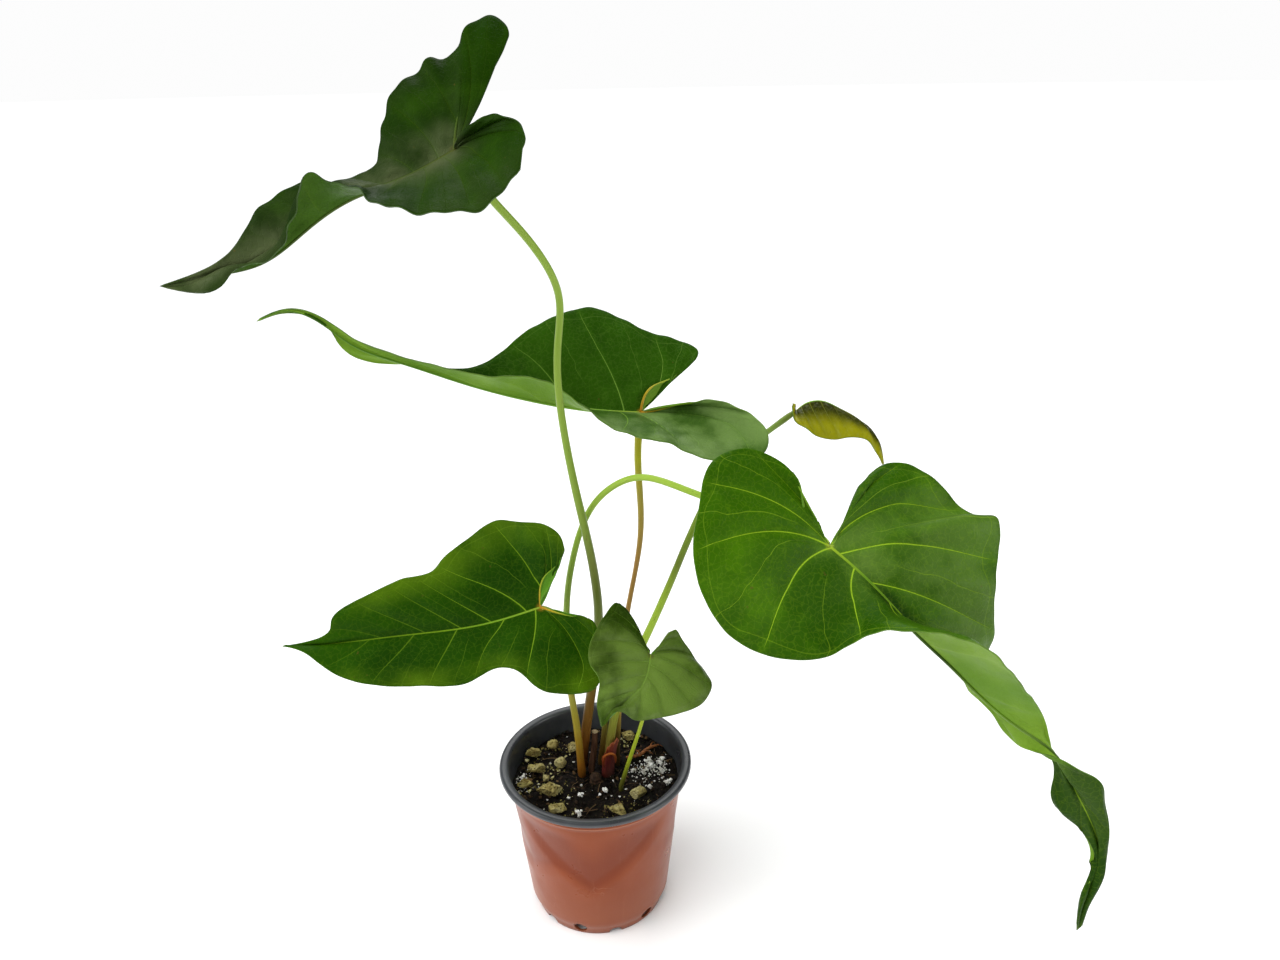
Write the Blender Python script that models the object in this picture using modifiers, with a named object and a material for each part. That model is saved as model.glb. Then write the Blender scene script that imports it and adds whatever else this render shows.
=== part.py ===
"""Potted anthurium: a thin plastic nursery pot, its soil and a flowerless plant with six leaves.

Sizes below are in millimetres and turned into metres by MM. The pot stands on Z = 0 at the origin.
Everything that belongs to the plant is laid out from the soil surface, so it follows the pot's height.
Blades, leaf stalks, sheath, stub and soil grit are separate bodies with a small clearance between them.
"""

import math

import bmesh
import bpy
import numpy as np

MM = 0.001

# Overall sizes.
RIM_RADIUS = 60.0
POT_HEIGHT = 103.0
PLANT_SPREAD = 1.0
PLANT_RISE = 1.0

# Pot wall, rim and base.
WALL = 1.2
RIM_OVERHANG = 5.2
RIM_DEPTH = 4.4
BASE_RADIUS = 43.5
FLOOR_HEIGHT = 5.0
LEDGE_DROP = 10.0
LEDGE_STEP = 0.5
PAD_RADIUS = 12.0
FOOT_COUNT = 12
DRAIN_COUNT = 6

# Fits.
CLEARANCE = 0.3
SOIL_DROP = 15.0
SOCKET_DEPTH = 7.0
SOIL_BUMP = 1.0

# Plant.
BLADE_THICKNESS = 0.7
STALK_SCALE = 1.0
GRIT_SCALE = 1.0

SOIL_LEVEL = POT_HEIGHT - SOIL_DROP
BODY_TOP_RADIUS = RIM_RADIUS - RIM_OVERHANG

# Leaf blades. "midrib" runs from the stalk's joint to the tip. "right" and "left" are the margins, from the
# notch at the stalk, round the basal lobe and on to the tip. Each margin point starts with how far along the
# midrib its vein leaves, as a fraction; then x, y and height above the soil.
BLADES = {
    "top": dict(
        grid=(9, 20, 5),
        bulge=0.05,
        midrib=[(-52, -28, 380), (-75, -34, 369), (-98, -40, 361), (-118, -46, 349), (-140, -50, 334),
                (-162, -52, 329), (-187, -55, 325)],
        right=[(0, -32, 0, 422), (0, -28, 5, 430), (0, -31, 8, 436), (0, -37, 8, 438), (0, -45, 6, 434),
               (0, -50, 3, 428), (0.005, -53, 2, 423), (0.015, -60, 2, 419), (0.03, -65, 1, 419),
               (0.05, -70, 0, 415), (0.08, -78, -3, 410), (0.11, -83, -5, 404), (0.15, -87, -10, 395),
               (0.19, -88, -15, 386), (0.26, -91, -22, 374), (0.36, -107, -24, 367),
               (0.48, -125, -28, 366), (0.62, -141, -36, 358), (0.74, -149, -44, 347),
               (0.85, -157, -50, 337)],
        left=[(0, -27, -48, 396), (0, -16, -60, 389), (0.01, -19, -74, 374), (0.06, -30, -82, 362),
              (0.15, -51, -84, 359), (0.26, -77, -76, 362), (0.36, -93, -62, 368),
              (0.46, -104, -58, 371), (0.53, -111, -58, 373), (0.58, -117, -57, 367),
              (0.66, -119, -59, 357), (0.72, -125, -60, 346), (0.79, -137, -60, 335),
              (0.85, -148, -58, 334), (0.92, -159, -57, 324)],
    ),
    "middle": dict(
        grid=(9, 20, 5),
        bulge=0.05,
        midrib=[(32, 50, 225), (1, 46, 229), (-42, 40, 240), (-70, 36, 250), (-100, 30, 263),
                (-126, 26, 275), (-141, 22, 289), (-157, 20, 296), (-174, 18, 291)],
        right=[(0, 68, 82, 253), (0, 50, 86, 261), (0.06, 33, 86, 267), (0.14, 5, 90, 279),
               (0.22, -15, 80, 278), (0.3, -36, 68, 270), (0.38, -56, 50, 258), (0.46, -74, 42, 256),
               (0.56, -93, 38, 260), (0.66, -111, 34, 262), (0.74, -126, 29, 267), (0.79, -134, 25, 277),
               (0.84, -138, 23, 287), (0.92, -156, 20, 295)],
        left=[(0, 76, 30, 238), (0, 92, 24, 233), (0, 103, 14, 224), (0.01, 100, 6, 215),
              (0.03, 69, -4, 215), (0.07, 48, 6, 221), (0.12, 21, 16, 225), (0.18, 2, 24, 236),
              (0.24, -13, 28, 247), (0.3, -27, 28, 254), (0.38, -52, 26, 256), (0.48, -75, 26, 261),
              (0.58, -97, 26, 267), (0.72, -125, 23, 280), (0.82, -138, 21, 291), (0.92, -155, 20, 297)],
    ),
    "side": dict(
        grid=(9, 26, 5),
        bulge=0.05,
        midrib=[(126, -60, 189), (146, -70, 173), (167, -82, 152), (183, -90, 138), (200, -98, 122),
                (217, -104, 109), (233, -108, 97), (246, -114, 76), (259, -120, 47), (258, -123, 35),
                (253, -126, 22), (251, -128, 1)],
        right=[(0, 98, -38, 230), (0, 83, -40, 235), (0, 66, -50, 231), (0, 60, -66, 218),
               (0, 56, -80, 201), (0.01, 60, -94, 181), (0.03, 73, -104, 164), (0.06, 93, -108, 155),
               (0.1, 121, -104, 153), (0.15, 136, -104, 163), (0.22, 155, -118, 174),
               (0.29, 176, -128, 175), (0.35, 186, -132, 171), (0.43, 203, -126, 151),
               (0.52, 221, -113, 126), (0.57, 229, -106, 111), (0.62, 234, -105, 95),
               (0.67, 236, -107, 82), (0.72, 235, -109, 73), (0.75, 238, -111, 66), (0.8, 245, -113, 60),
               (0.85, 251, -117, 54), (0.89, 256, -120, 46), (0.93, 255, -123, 36),
               (0.965, 251, -126, 26)],
        left=[(0, 157, -25, 218), (0, 173, -20, 217), (0, 191, -24, 206), (0.02, 208, -32, 192),
              (0.045, 217, -39, 194), (0.06, 218, -43, 187), (0.1, 215, -53, 170), (0.18, 213, -62, 151),
              (0.26, 212, -64, 129), (0.33, 201, -70, 112), (0.4, 206, -83, 108), (0.46, 215, -94, 98),
              (0.53, 221, -105, 97), (0.6, 233, -115, 99), (0.66, 243, -118, 94), (0.71, 254, -119, 87),
              (0.76, 257, -119, 77), (0.82, 261, -121, 62), (0.88, 262, -122, 48), (0.92, 261, -124, 35),
              (0.96, 255, -126, 22)],
    ),
    "low": dict(
        grid=(8, 16, 5),
        bulge=0.05,
        midrib=[(-25, -30, 140), (-58, -38, 134), (-100, -46, 133), (-130, -52, 133), (-159, -58, 135)],
        right=[(0, -11, -24, 171), (0, -13, -21, 179), (0, -23, -18, 185), (0.01, -39, -14, 185),
               (0.03, -48, -12, 185), (0.08, -63, -16, 177), (0.16, -78, -23, 167),
               (0.22, -84, -28, 162), (0.34, -97, -33, 161), (0.45, -107, -38, 159),
               (0.56, -118, -42, 155), (0.66, -128, -46, 151), (0.74, -134, -50, 146),
               (0.79, -135, -52, 141), (0.88, -146, -55, 136)],
        left=[(0, 3, -36, 135), (0, 8, -44, 117), (0, 5, -54, 103), (0.02, -14, -62, 105),
              (0.08, -25, -64, 110), (0.16, -36, -58, 117), (0.24, -50, -56, 117), (0.34, -62, -62, 113),
              (0.48, -82, -66, 114), (0.62, -107, -68, 116), (0.8, -133, -66, 124),
              (0.9, -146, -62, 133)],
    ),
    "small": dict(
        grid=(6, 13, 4),
        bulge=0.05,
        midrib=[(35, -46, 118), (31, -60, 110), (21, -74, 107), (9, -86, 101)],
        right=[(0, 23, -39, 135), (0, 17, -37, 146), (0, 11, -41, 141), (0.02, 6, -50, 137),
               (0.1, 2, -58, 127), (0.24, 5, -65, 121), (0.36, 8, -70, 117), (0.5, 7, -75, 112),
               (0.75, 7, -81, 107)],
        left=[(0, 49, -33, 126), (0, 53, -34, 120), (0, 59, -36, 111), (0.03, 65, -43, 105),
              (0.08, 68, -50, 101), (0.15, 64, -58, 96), (0.24, 55, -65, 95), (0.36, 44, -71, 96),
              (0.48, 34, -75, 97), (0.6, 26, -78, 99), (0.68, 21, -79, 104), (0.78, 16, -81, 106),
              (0.9, 12, -85, 103)],
    ),
    "young": dict(
        grid=(6, 13, 4),
        bulge=0.08,
        midrib=[(125, 56, 222), (131, 56, 227), (140, 54, 229), (149, 50, 226), (158, 45, 222),
                (166, 40, 216), (172, 35, 207), (173, 30, 197)],
        right=[(0, 122, 52, 227), (0, 123, 46, 221), (0.05, 129, 41, 216), (0.15, 137, 37, 212),
               (0.3, 147, 34, 212), (0.48, 155, 33, 213), (0.64, 163, 32, 212), (0.8, 168, 31, 206)],
        left=[(0, 124, 62, 225), (0, 128, 68, 217), (0.1, 135, 70, 208), (0.3, 153, 62, 204),
              (0.48, 161, 54, 207), (0.64, 167, 46, 208), (0.8, 171, 38, 204)],
    ),
}

# Leaf stalks: the foot on the soil, then points up to the blade's joint, and the radius along the way.
# Each stalk stops short of its blade by JOINT_FREE and its own end radius.
STALKS = {
    "top": dict(
        foot=(-9, 13), radii=[3.2, 2.9, 2.5, 2.1, 2.0, 2.0],
        path=[(-6, 6, 27), (-1, -2, 63), (4, -12, 97), (6, -15, 132), (2, -15, 170), (-3, -12, 196),
              (-10, -6, 240), (-11, -2, 278), (-9, 0, 304), (-15, -6, 324), (-26, -14, 342), (-38, -21, 358),
              (-52, -28, 380)]),
    "middle": dict(
        foot=(13, 12), radii=[2.2, 1.8, 1.6, 1.6, 2.1, 2.4],
        path=[(15, 14, 39), (22, 24, 105), (31, 36, 155), (30, 44, 197), (32, 50, 225)]),
    "side": dict(
        foot=(-9, 2), radii=[2.5, 2.1, 1.9, 1.8, 1.8, 2.0],
        path=[(-11, -1, 44), (-13, -2, 65), (-13, -4, 123), (-8, -5, 156), (4, -6, 189), (20, -12, 206),
              (34, -20, 212), (52, -30, 210), (67, -36, 206), (97, -42, 198), (117, -46, 192),
              (126, -60, 189)]),
    "low": dict(
        foot=(3, 13), radii=[2.1, 1.8, 1.6, 1.5, 1.6],
        path=[(6, 9, 29), (8, 1, 56), (6, -14, 87), (-3, -22, 114), (-15, -27, 132), (-25, -30, 140)]),
    "young": dict(
        foot=(7, 3), radii=[2.8, 2.6, 2.2, 1.9, 1.7],
        path=[(15, 5, 52), (32, 4, 97), (48, 6, 135), (65, 14, 174), (84, 30, 199), (106, 46, 212),
              (125, 56, 222)]),
    "small": dict(
        foot=(16, -13), radii=[1.5, 1.2, 1.1, 1.1, 1.2],
        path=[(22, -14, 25), (30, -20, 57), (35, -32, 93), (35, -46, 118)]),
}
STALK_STEPS = 20
JOINT_FREE = 2.0
STUB = dict(foot=(-3, 5), top=(0, 6, 30), radius=1.9)
CROWN = dict(foot=(0, -4), radius=3.6, height=6.0)
SHEATH = dict(turn=(-150, 60), height=27.0, wall=0.9, room=0.9)
SHEATH_RADIUS = STALKS["young"]["radii"][0] * STALK_SCALE + SHEATH["room"] + SHEATH["wall"]
ROOT = dict(path=[(19, 15), (26, 17), (32, 24), (39, 27)], radius=1.1)

# Grit on the soil: x, y, half width, half height, laid out on a surface of this radius.
GRIT_LAYOUT_RADIUS = 52.4
BARK_CHUNKS = [(-42, 19, 4.0, 2.6), (-38, 4, 4.4, 3.2), (-44, -11, 4.2, 3.0), (-27, -18, 6.4, 4.6),
               (-21, -33, 4.6, 3.4), (-24, 9, 4.0, 3.0), (-16, 25, 3.6, 2.8), (-29, 29, 3.4, 2.4),
               (26, -23, 5.0, 3.8), (15, -35, 4.4, 3.2), (20, 37, 4.2, 3.0), (-31, -4, 2.8, 2.0)]
PERLITE = [(35, 6, 2.6), (40, 11, 2.8), (30, 0, 2.2), (33, 14, 1.9), (41, 2, 2.0), (45, -9, 2.3),
           (24, 4, 1.7), (-46, -1, 1.8), (6, -15, 2.0), (-9, -20, 1.8), (-9, -35, 2.0), (34, -12, 1.9)]


def clear_scene():
    for obj in list(bpy.data.objects):
        bpy.data.objects.remove(obj, do_unlink=True)


def collection(name, hidden=False):
    group = bpy.data.collections.new(name)
    bpy.context.scene.collection.children.link(group)
    group.hide_render = hidden
    return group


def material(name, rgb, roughness):
    made = bpy.data.materials.new(name)
    made.use_nodes = True
    shader = made.node_tree.nodes["Principled BSDF"]
    shader.inputs["Base Color"].default_value = (*rgb, 1.0)
    shader.inputs["Roughness"].default_value = roughness
    shader.inputs["Metallic"].default_value = 0.0
    return made


def add(name, data, group, rgb=None, roughness=0.5):
    obj = bpy.data.objects.new(name, data)
    group.objects.link(obj)
    if rgb:
        data.materials.append(material(name, rgb, roughness))
    return obj


def mesh_from(bm, name, smooth=True):
    bmesh.ops.recalc_face_normals(bm, faces=bm.faces)
    data = bpy.data.meshes.new(name)
    bm.to_mesh(data)
    bm.free()
    for face in data.polygons:
        face.use_smooth = smooth
    return data


def spline(points, count):
    """Points spread evenly along a smooth curve through the given ones."""
    dense = spline_at(points, np.linspace(0.0, 1.0, 12 * len(points)))
    run = arc_lengths(dense)
    at = np.linspace(0.0, run[-1], count)
    return np.column_stack([np.interp(at, run, dense[:, k]) for k in range(dense.shape[1])])


def arc_lengths(points):
    steps = np.linalg.norm(np.diff(points[:, -3:], axis=0), axis=1)
    return np.concatenate([[0.0], np.cumsum(steps)])


def knots(points):
    steps = np.linalg.norm(np.diff(points[:, -3:], axis=0), axis=1) ** 0.7
    run = np.concatenate([[0.0], np.cumsum(steps)])
    return run / run[-1]


def spline_at(points, where):
    """A natural cubic spline through the points, at fractions of its length."""
    points = np.asarray(points, float)
    at = knots(points)
    gaps = np.diff(at)
    count = len(points)
    system = np.eye(count)
    bend = np.zeros(points.shape)
    for i in range(1, count - 1):
        system[i, i - 1:i + 2] = gaps[i - 1], 2 * (gaps[i - 1] + gaps[i]), gaps[i]
        slope_after = (points[i + 1] - points[i]) / gaps[i]
        slope_before = (points[i] - points[i - 1]) / gaps[i - 1]
        bend[i] = 6 * (slope_after - slope_before)
    second = np.linalg.solve(system, bend)
    where = np.clip(where, 0.0, 1.0)
    i = np.clip(np.searchsorted(at, where, side="right") - 1, 0, count - 2)
    a = (where - at[i])[:, None]
    b = (at[i + 1] - where)[:, None]
    gap = gaps[i][:, None]
    cubic = (second[i] * b**3 + second[i + 1] * a**3) / (6 * gap)
    start = (points[i] / gap - second[i] * gap / 6) * b
    end = (points[i + 1] / gap - second[i + 1] * gap / 6) * a
    return cubic + start + end


def above_soil(points):
    """Plant coordinates to the pot's frame, in millimetres. Only the last three numbers are a position."""
    out = np.array(points, float)
    out[:, -3] *= PLANT_SPREAD
    out[:, -2] *= PLANT_SPREAD
    out[:, -1] = out[:, -1] * PLANT_RISE + SOIL_LEVEL
    return out


def bump(x, y):
    """Height of the loose soil surface above or below its level."""
    return SOIL_BUMP * (math.sin(0.21 * x + 0.4) * math.cos(0.17 * y) + 0.6 * math.sin(0.33 * y - 0.19 * x))


# ---------------------------------------------------------------- pot

def wall_radius(height):
    """Outer radius of the pot's body."""
    share = height / (POT_HEIGHT - RIM_DEPTH)
    return BASE_RADIUS + (BODY_TOP_RADIUS - BASE_RADIUS) * share


def pot_profile():
    """Half section: floor, up the inside, over the rolled rim, down the outside to the foot and the pad."""
    floor_top = FLOOR_HEIGHT + WALL
    ledge = POT_HEIGHT - LEDGE_DROP
    under_rim = POT_HEIGHT - RIM_DEPTH
    foot_inner = BASE_RADIUS - 2.2 - WALL
    inside_top = BODY_TOP_RADIUS - WALL
    return [
        (0.0, floor_top),
        (wall_radius(floor_top) - WALL - 1.5, floor_top),
        (wall_radius(floor_top + 2.0) - WALL, floor_top + 2.0),
        (inside_top, under_rim),
        (inside_top + 0.6, POT_HEIGHT - 1.0),
        (inside_top + 1.8, POT_HEIGHT),
        (RIM_RADIUS - 1.4, POT_HEIGHT),
        (RIM_RADIUS - 0.3, POT_HEIGHT - 0.7),
        (RIM_RADIUS, POT_HEIGHT - 1.8),
        (RIM_RADIUS - 0.2, POT_HEIGHT - 3.2),
        (RIM_RADIUS - 1.2, POT_HEIGHT - 4.0),
        (BODY_TOP_RADIUS + 0.6, under_rim),
        (wall_radius(ledge) + LEDGE_STEP, ledge + 0.6),
        (wall_radius(ledge), ledge),
        (wall_radius(9.0), 9.0),
        (BASE_RADIUS - 1.2, 4.0),
        (BASE_RADIUS - 2.2, 0.0),
        (foot_inner, 0.0),
        (foot_inner, FLOOR_HEIGHT),
        (PAD_RADIUS + 1.0, FLOOR_HEIGHT),
        (PAD_RADIUS, 0.0),
        (0.0, 0.0),
    ]


def turned(name, profile):
    bm = bmesh.new()
    verts = [bm.verts.new((r * MM, 0.0, z * MM)) for r, z in profile]
    for a, b in zip(verts, verts[1:]):
        bm.edges.new((a, b))
    data = bpy.data.meshes.new(name)
    bm.to_mesh(data)
    bm.free()
    return data


def add_screw(obj, steps):
    screw = obj.modifiers.new("turn", "SCREW")
    screw.axis = "Z"
    screw.steps = steps
    screw.render_steps = steps
    screw.use_merge_vertices = True
    screw.merge_threshold = 0.00001
    screw.use_smooth_shade = True


def cut(obj, cutter):
    mod = obj.modifiers.new(cutter.name, "BOOLEAN")
    mod.operation = "DIFFERENCE"
    mod.solver = "EXACT"
    mod.object = cutter


def hide_cutter(obj):
    obj.hide_render = True
    obj.display_type = "WIRE"


def make_pot(parts, cutters):
    pot = add("pot", turned("pot", pot_profile()), parts, (0.46, 0.13, 0.06), 0.35)
    add_screw(pot, 48)
    notches = bmesh.new()
    for i in range(FOOT_COUNT):
        drain = i % (FOOT_COUNT // DRAIN_COUNT) == 0
        radius = 4.2 if drain else 3.0
        height = FLOOR_HEIGHT + WALL + 1.0 if drain else 0.0
        turn = 2 * math.pi * (i + 0.5) / FOOT_COUNT
        made = bmesh.ops.create_cone(notches, cap_ends=True, segments=12, radius1=radius * MM,
                                     radius2=radius * MM, depth=14.0 * MM)
        for vert in made["verts"]:
            x, y, z = vert.co
            out = z + (BASE_RADIUS - 2.0) * MM
            vert.co = (out * math.cos(turn) - x * math.sin(turn),
                       out * math.sin(turn) + x * math.cos(turn),
                       y + height * MM)
    cutter = add("pot_notches", mesh_from(notches, "pot_notches"), cutters)
    hide_cutter(cutter)
    cut(pot, cutter)


# ---------------------------------------------------------------- soil and grit

def make_soil(parts, cutters):
    """One body that fills the pot, with a loose top and a socket for each thing that grows out of it."""
    rings, segments = 7, 40
    bottom = FLOOR_HEIGHT + WALL + CLEARANCE
    low_radius = wall_radius(bottom) - WALL - 2.2
    shoulder = bottom + 3.0
    top_radius = wall_radius(SOIL_LEVEL) - WALL - CLEARANCE - 0.3
    bm = bmesh.new()
    loops = []
    for radius, height in ((low_radius, bottom), (wall_radius(shoulder) - WALL - CLEARANCE - 0.3, shoulder),
                           (top_radius, SOIL_LEVEL - 1.5)):
        loops.append(ring(bm, radius, segments, height, False))
    for k in range(rings):
        loops.append(ring(bm, top_radius * (1 - (k + 0.4) / rings), segments, SOIL_LEVEL, True))
    for low, high in zip(loops, loops[1:]):
        for i in range(segments):
            j = (i + 1) % segments
            bm.faces.new((low[i], low[j], high[j], high[i]))
    bm.faces.new(list(reversed(loops[0])))
    bm.faces.new(loops[-1])
    soil = add("soil", mesh_from(bm, "soil"), parts, (0.02, 0.014, 0.01), 0.9)

    feet = [(*stalk["foot"], stalk["radii"][0] * STALK_SCALE) for name, stalk in STALKS.items()
            if name != "young"]
    feet.append((*STALKS["young"]["foot"], SHEATH_RADIUS))
    feet.append((*STUB["foot"], STUB["radius"]))
    feet.append((*CROWN["foot"], CROWN["radius"]))
    for number, (x, y, radius) in enumerate(feet):
        cutter = add(f"soil_socket_{number + 1}", socket(x, y, radius), cutters)
        hide_cutter(cutter)
        cut(soil, cutter)


def socket(x, y, radius):
    """A round hole for one foot. Each is its own cutter, so that neighbouring holes may run together."""
    bm = bmesh.new()
    made = bmesh.ops.create_cone(bm, cap_ends=True, segments=16, radius1=(radius + 2 * CLEARANCE) * MM,
                                 radius2=(radius + 2 * CLEARANCE) * MM, depth=2 * SOCKET_DEPTH * MM)
    for vert in made["verts"]:
        vert.co.x += x * PLANT_SPREAD * MM
        vert.co.y += y * PLANT_SPREAD * MM
        vert.co.z += SOIL_LEVEL * MM
    return mesh_from(bm, "soil_socket")


def ring(bm, radius, segments, height, loose):
    loop = []
    for i in range(segments):
        turn = 2 * math.pi * i / segments
        x, y = radius * math.cos(turn), radius * math.sin(turn)
        lift = bump(x, y) if loose else 0.0
        loop.append(bm.verts.new((x * MM, y * MM, (height + lift) * MM)))
    return loop


def soil_share():
    """How wide the soil's surface is, against the width that the grit was laid out for."""
    return (wall_radius(SOIL_LEVEL) - WALL) / GRIT_LAYOUT_RADIUS


def resting_height(x, y, reach):
    """The highest soil under a piece of this half width. It looks a little past the edge, for flat facets."""
    around = [bump(x, y)]
    for spread in (0.6, 1.4):
        for i in range(8):
            turn = math.pi * i / 4
            around.append(bump(x + spread * reach * math.cos(turn), y + spread * reach * math.sin(turn)))
    return SOIL_LEVEL + max(around)


def lump(name, x, y, half_width, half_height, detail, seed, parts, rgb):
    """A rough stone-like piece that lies on the soil."""
    bm = bmesh.new()
    bmesh.ops.create_icosphere(bm, subdivisions=detail, radius=1.0)
    for vert in bm.verts:
        a, b, c = vert.co
        rough = 1.0 + 0.16 * math.sin(3.1 * a + seed) * math.cos(2.7 * b - 1.3 * seed)
        rough += 0.10 * math.sin(4.3 * c + 2.0 * seed)
        vert.co = (a * half_width * rough * MM, b * half_width * 0.85 * rough * MM,
                   c * half_height * rough * MM)
    lowest = min(vert.co.z for vert in bm.verts)
    obj = add(name, mesh_from(bm, name, smooth=False), parts, rgb, 0.85)
    seat = resting_height(x, y, half_width) + CLEARANCE
    obj.location = (x * MM, y * MM, seat * MM - lowest)


def make_grit(parts):
    share = soil_share()
    for i, (x, y, wide, high) in enumerate(BARK_CHUNKS):
        lump(f"chunk_{i + 1:02d}", x * share, y * share, wide * GRIT_SCALE, high * GRIT_SCALE, 2, i + 1.0,
             parts, (0.32, 0.27, 0.12))
    for i, (x, y, size) in enumerate(PERLITE):
        lump(f"perlite_{i + 1:02d}", x * share, y * share, size * GRIT_SCALE, 0.8 * size * GRIT_SCALE, 1,
             i + 21.0, parts, (0.75, 0.73, 0.68))


# ---------------------------------------------------------------- plant

def tube(name, points, radii, parts, rgb):
    """A round stem along the points, its radius given at even steps."""
    data = bpy.data.curves.new(name, "CURVE")
    data.dimensions = "3D"
    data.bevel_depth = 1.0 * MM
    data.bevel_resolution = 2
    data.use_fill_caps = True
    line = data.splines.new("POLY")
    line.points.add(len(points) - 1)
    line.use_smooth = True
    along = np.linspace(0.0, 1.0, len(radii))
    for i, point in enumerate(points):
        line.points[i].co = (*(np.array(point) * MM), 1.0)
        line.points[i].radius = float(np.interp(i / (len(points) - 1), along, radii))
    return add(name, data, parts, rgb, 0.45)


def stalk_line(stalk):
    """Straight up out of the socket, then a smooth curve that stops short of the blade's joint."""
    x, y = stalk["foot"]
    path = above_soil([(x, y, 3.0), *stalk["path"]])
    line = spline(path, STALK_STEPS * 4)
    run = arc_lengths(line)
    stop = JOINT_FREE + BLADE_THICKNESS / 2 + stalk["radii"][-1] * STALK_SCALE
    keep = np.linspace(0.0, run[-1] - stop, STALK_STEPS)
    upper = np.column_stack([np.interp(keep, run, line[:, k]) for k in range(3)])
    foot = upper[0].copy()
    foot[2] = SOIL_LEVEL - SOCKET_DEPTH + CLEARANCE
    return np.vstack([foot, upper])


def make_stalks(parts):
    colours = dict(top=(0.16, 0.15, 0.03), middle=(0.22, 0.14, 0.03), side=(0.30, 0.32, 0.05),
                   low=(0.25, 0.28, 0.05), young=(0.24, 0.33, 0.05), small=(0.33, 0.40, 0.06))
    for name, stalk in STALKS.items():
        radii = [r * STALK_SCALE for r in stalk["radii"]]
        tube(f"petiole_{name}", stalk_line(stalk), radii, parts, colours[name])


def make_crown(parts):
    """The old rhizome's rounded top, a cut stalk stub, the dry sheath round the youngest stalk, a root."""
    x, y = (v * PLANT_SPREAD for v in CROWN["foot"])
    base = SOIL_LEVEL - SOCKET_DEPTH + CLEARANCE
    top = SOIL_LEVEL + CROWN["height"]
    heights = [base, SOIL_LEVEL, top - 3.0, top - 0.8, top]
    radii = [CROWN["radius"] * k for k in (0.9, 1.0, 1.0, 0.75, 0.3)]
    points = [(x, y, z) for z in heights]
    tube("crown", points, radii, parts, (0.05, 0.03, 0.02))

    x, y = (v * PLANT_SPREAD for v in STUB["foot"])
    end = above_soil([STUB["top"]])[0]
    points = [(x, y, base), (x, y, SOIL_LEVEL + 3.0), tuple(end)]
    tube("cut_stub", points, [STUB["radius"]] * 3, parts, (0.12, 0.06, 0.04))

    turns = np.linspace(0.0, 1.0, 8)
    share = soil_share()
    flat = np.array([(px * share, py * share, 0.0) for px, py in ROOT["path"]])
    line = spline(flat, len(turns))
    for point in line:
        point[2] = resting_height(point[0], point[1], 3.0) + ROOT["radius"] + CLEARANCE
    tube("aerial_root", line, [ROOT["radius"] * k for k in (0.7, 1.0, 1.1, 0.8)], parts, (0.30, 0.11, 0.03))


def make_sheath(parts):
    """The papery scale that wraps the youngest stalk: an open trough, taller on its outer side."""
    x, y = (v * PLANT_SPREAD for v in STALKS["young"]["foot"])
    first, last = (math.radians(v) for v in SHEATH["turn"])
    base = SOIL_LEVEL - SOCKET_DEPTH + 2 * CLEARANCE
    rows, columns = 8, 12
    middle = SHEATH_RADIUS - SHEATH["wall"] / 2
    bm = bmesh.new()
    grid = []
    for j in range(rows + 1):
        up = j / rows
        line = []
        for i in range(columns + 1):
            across = i / columns
            turn = first + (last - first) * across
            height = (SHEATH["height"] + SOCKET_DEPTH) * (0.55 + 0.45 * math.sin(math.pi * across))
            spread = middle + 1.2 * max(0.0, up - 0.4)
            line.append(bm.verts.new(((x + 2.6 * max(0.0, up - 0.3) + spread * math.cos(turn)) * MM,
                                      (y + 1.4 * max(0.0, up - 0.3) + spread * math.sin(turn)) * MM,
                                      (base + height * up) * MM)))
        grid.append(line)
    for low, high in zip(grid, grid[1:]):
        for i in range(columns):
            bm.faces.new((low[i], low[i + 1], high[i + 1], high[i]))
    sheath = add("cataphyll", mesh_from(bm, "cataphyll"), parts, (0.13, 0.02, 0.015), 0.6)
    thicken(sheath, SHEATH["wall"])


def thicken(obj, thickness):
    skin = obj.modifiers.new("thickness", "SOLIDIFY")
    skin.thickness = thickness * MM
    skin.offset = 0.0
    skin.use_rim = True


def vein_places(closed, lobe_rows, blade_rows):
    """Where the vein lines meet the margin. Both halves leave the midrib at the same points."""
    at = knots(closed)
    last_lobe = int(np.flatnonzero(closed[:, 0] <= 0.0)[-1])
    lobe = np.linspace(0.0, at[last_lobe], lobe_rows + 1)
    starts = np.linspace(0.0, 1.0, blade_rows + 1)[1:] ** 1.5
    blade = np.interp(starts, closed[last_lobe:, 0], at[last_lobe:])
    return np.concatenate([lobe, blade]), np.concatenate([np.zeros(lobe_rows + 1), starts])


def half_blade(midrib, margin, side, bulge, grid):
    """A half blade as rows of points: each row is one vein line from the midrib out to the margin."""
    lobe_rows, blade_rows, across = grid
    closed = np.vstack([margin, [1.0, *midrib[-1]]])
    places, start = vein_places(closed, lobe_rows, blade_rows)
    edge = spline_at(closed, places)[:, 1:]
    line = spline(midrib, 120)
    share = np.linspace(0.0, 1.0, 120)

    def on_midrib(at):
        return np.column_stack([np.interp(at, share, line[:, k]) for k in range(3)])

    root = on_midrib(start)
    along = on_midrib(np.clip(start + 0.01, 0, 1)) - on_midrib(np.clip(start - 0.01, 0, 1))
    along /= np.linalg.norm(along, axis=1, keepdims=True)
    reach = edge - root
    length = np.linalg.norm(reach, axis=1, keepdims=True)
    normal = -side * np.cross(along, reach)
    size = np.linalg.norm(normal, axis=1, keepdims=True)
    normal = np.where(size > 1e-6, normal / np.maximum(size, 1e-6), 0.0)
    bend = root + 0.5 * reach - 0.10 * length * along + bulge * length * normal
    t = np.linspace(0.0, 1.0, across + 1)[None, :, None]
    return (1 - t) ** 2 * root[:, None] + 2 * t * (1 - t) * bend[:, None] + t**2 * edge[:, None]


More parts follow.
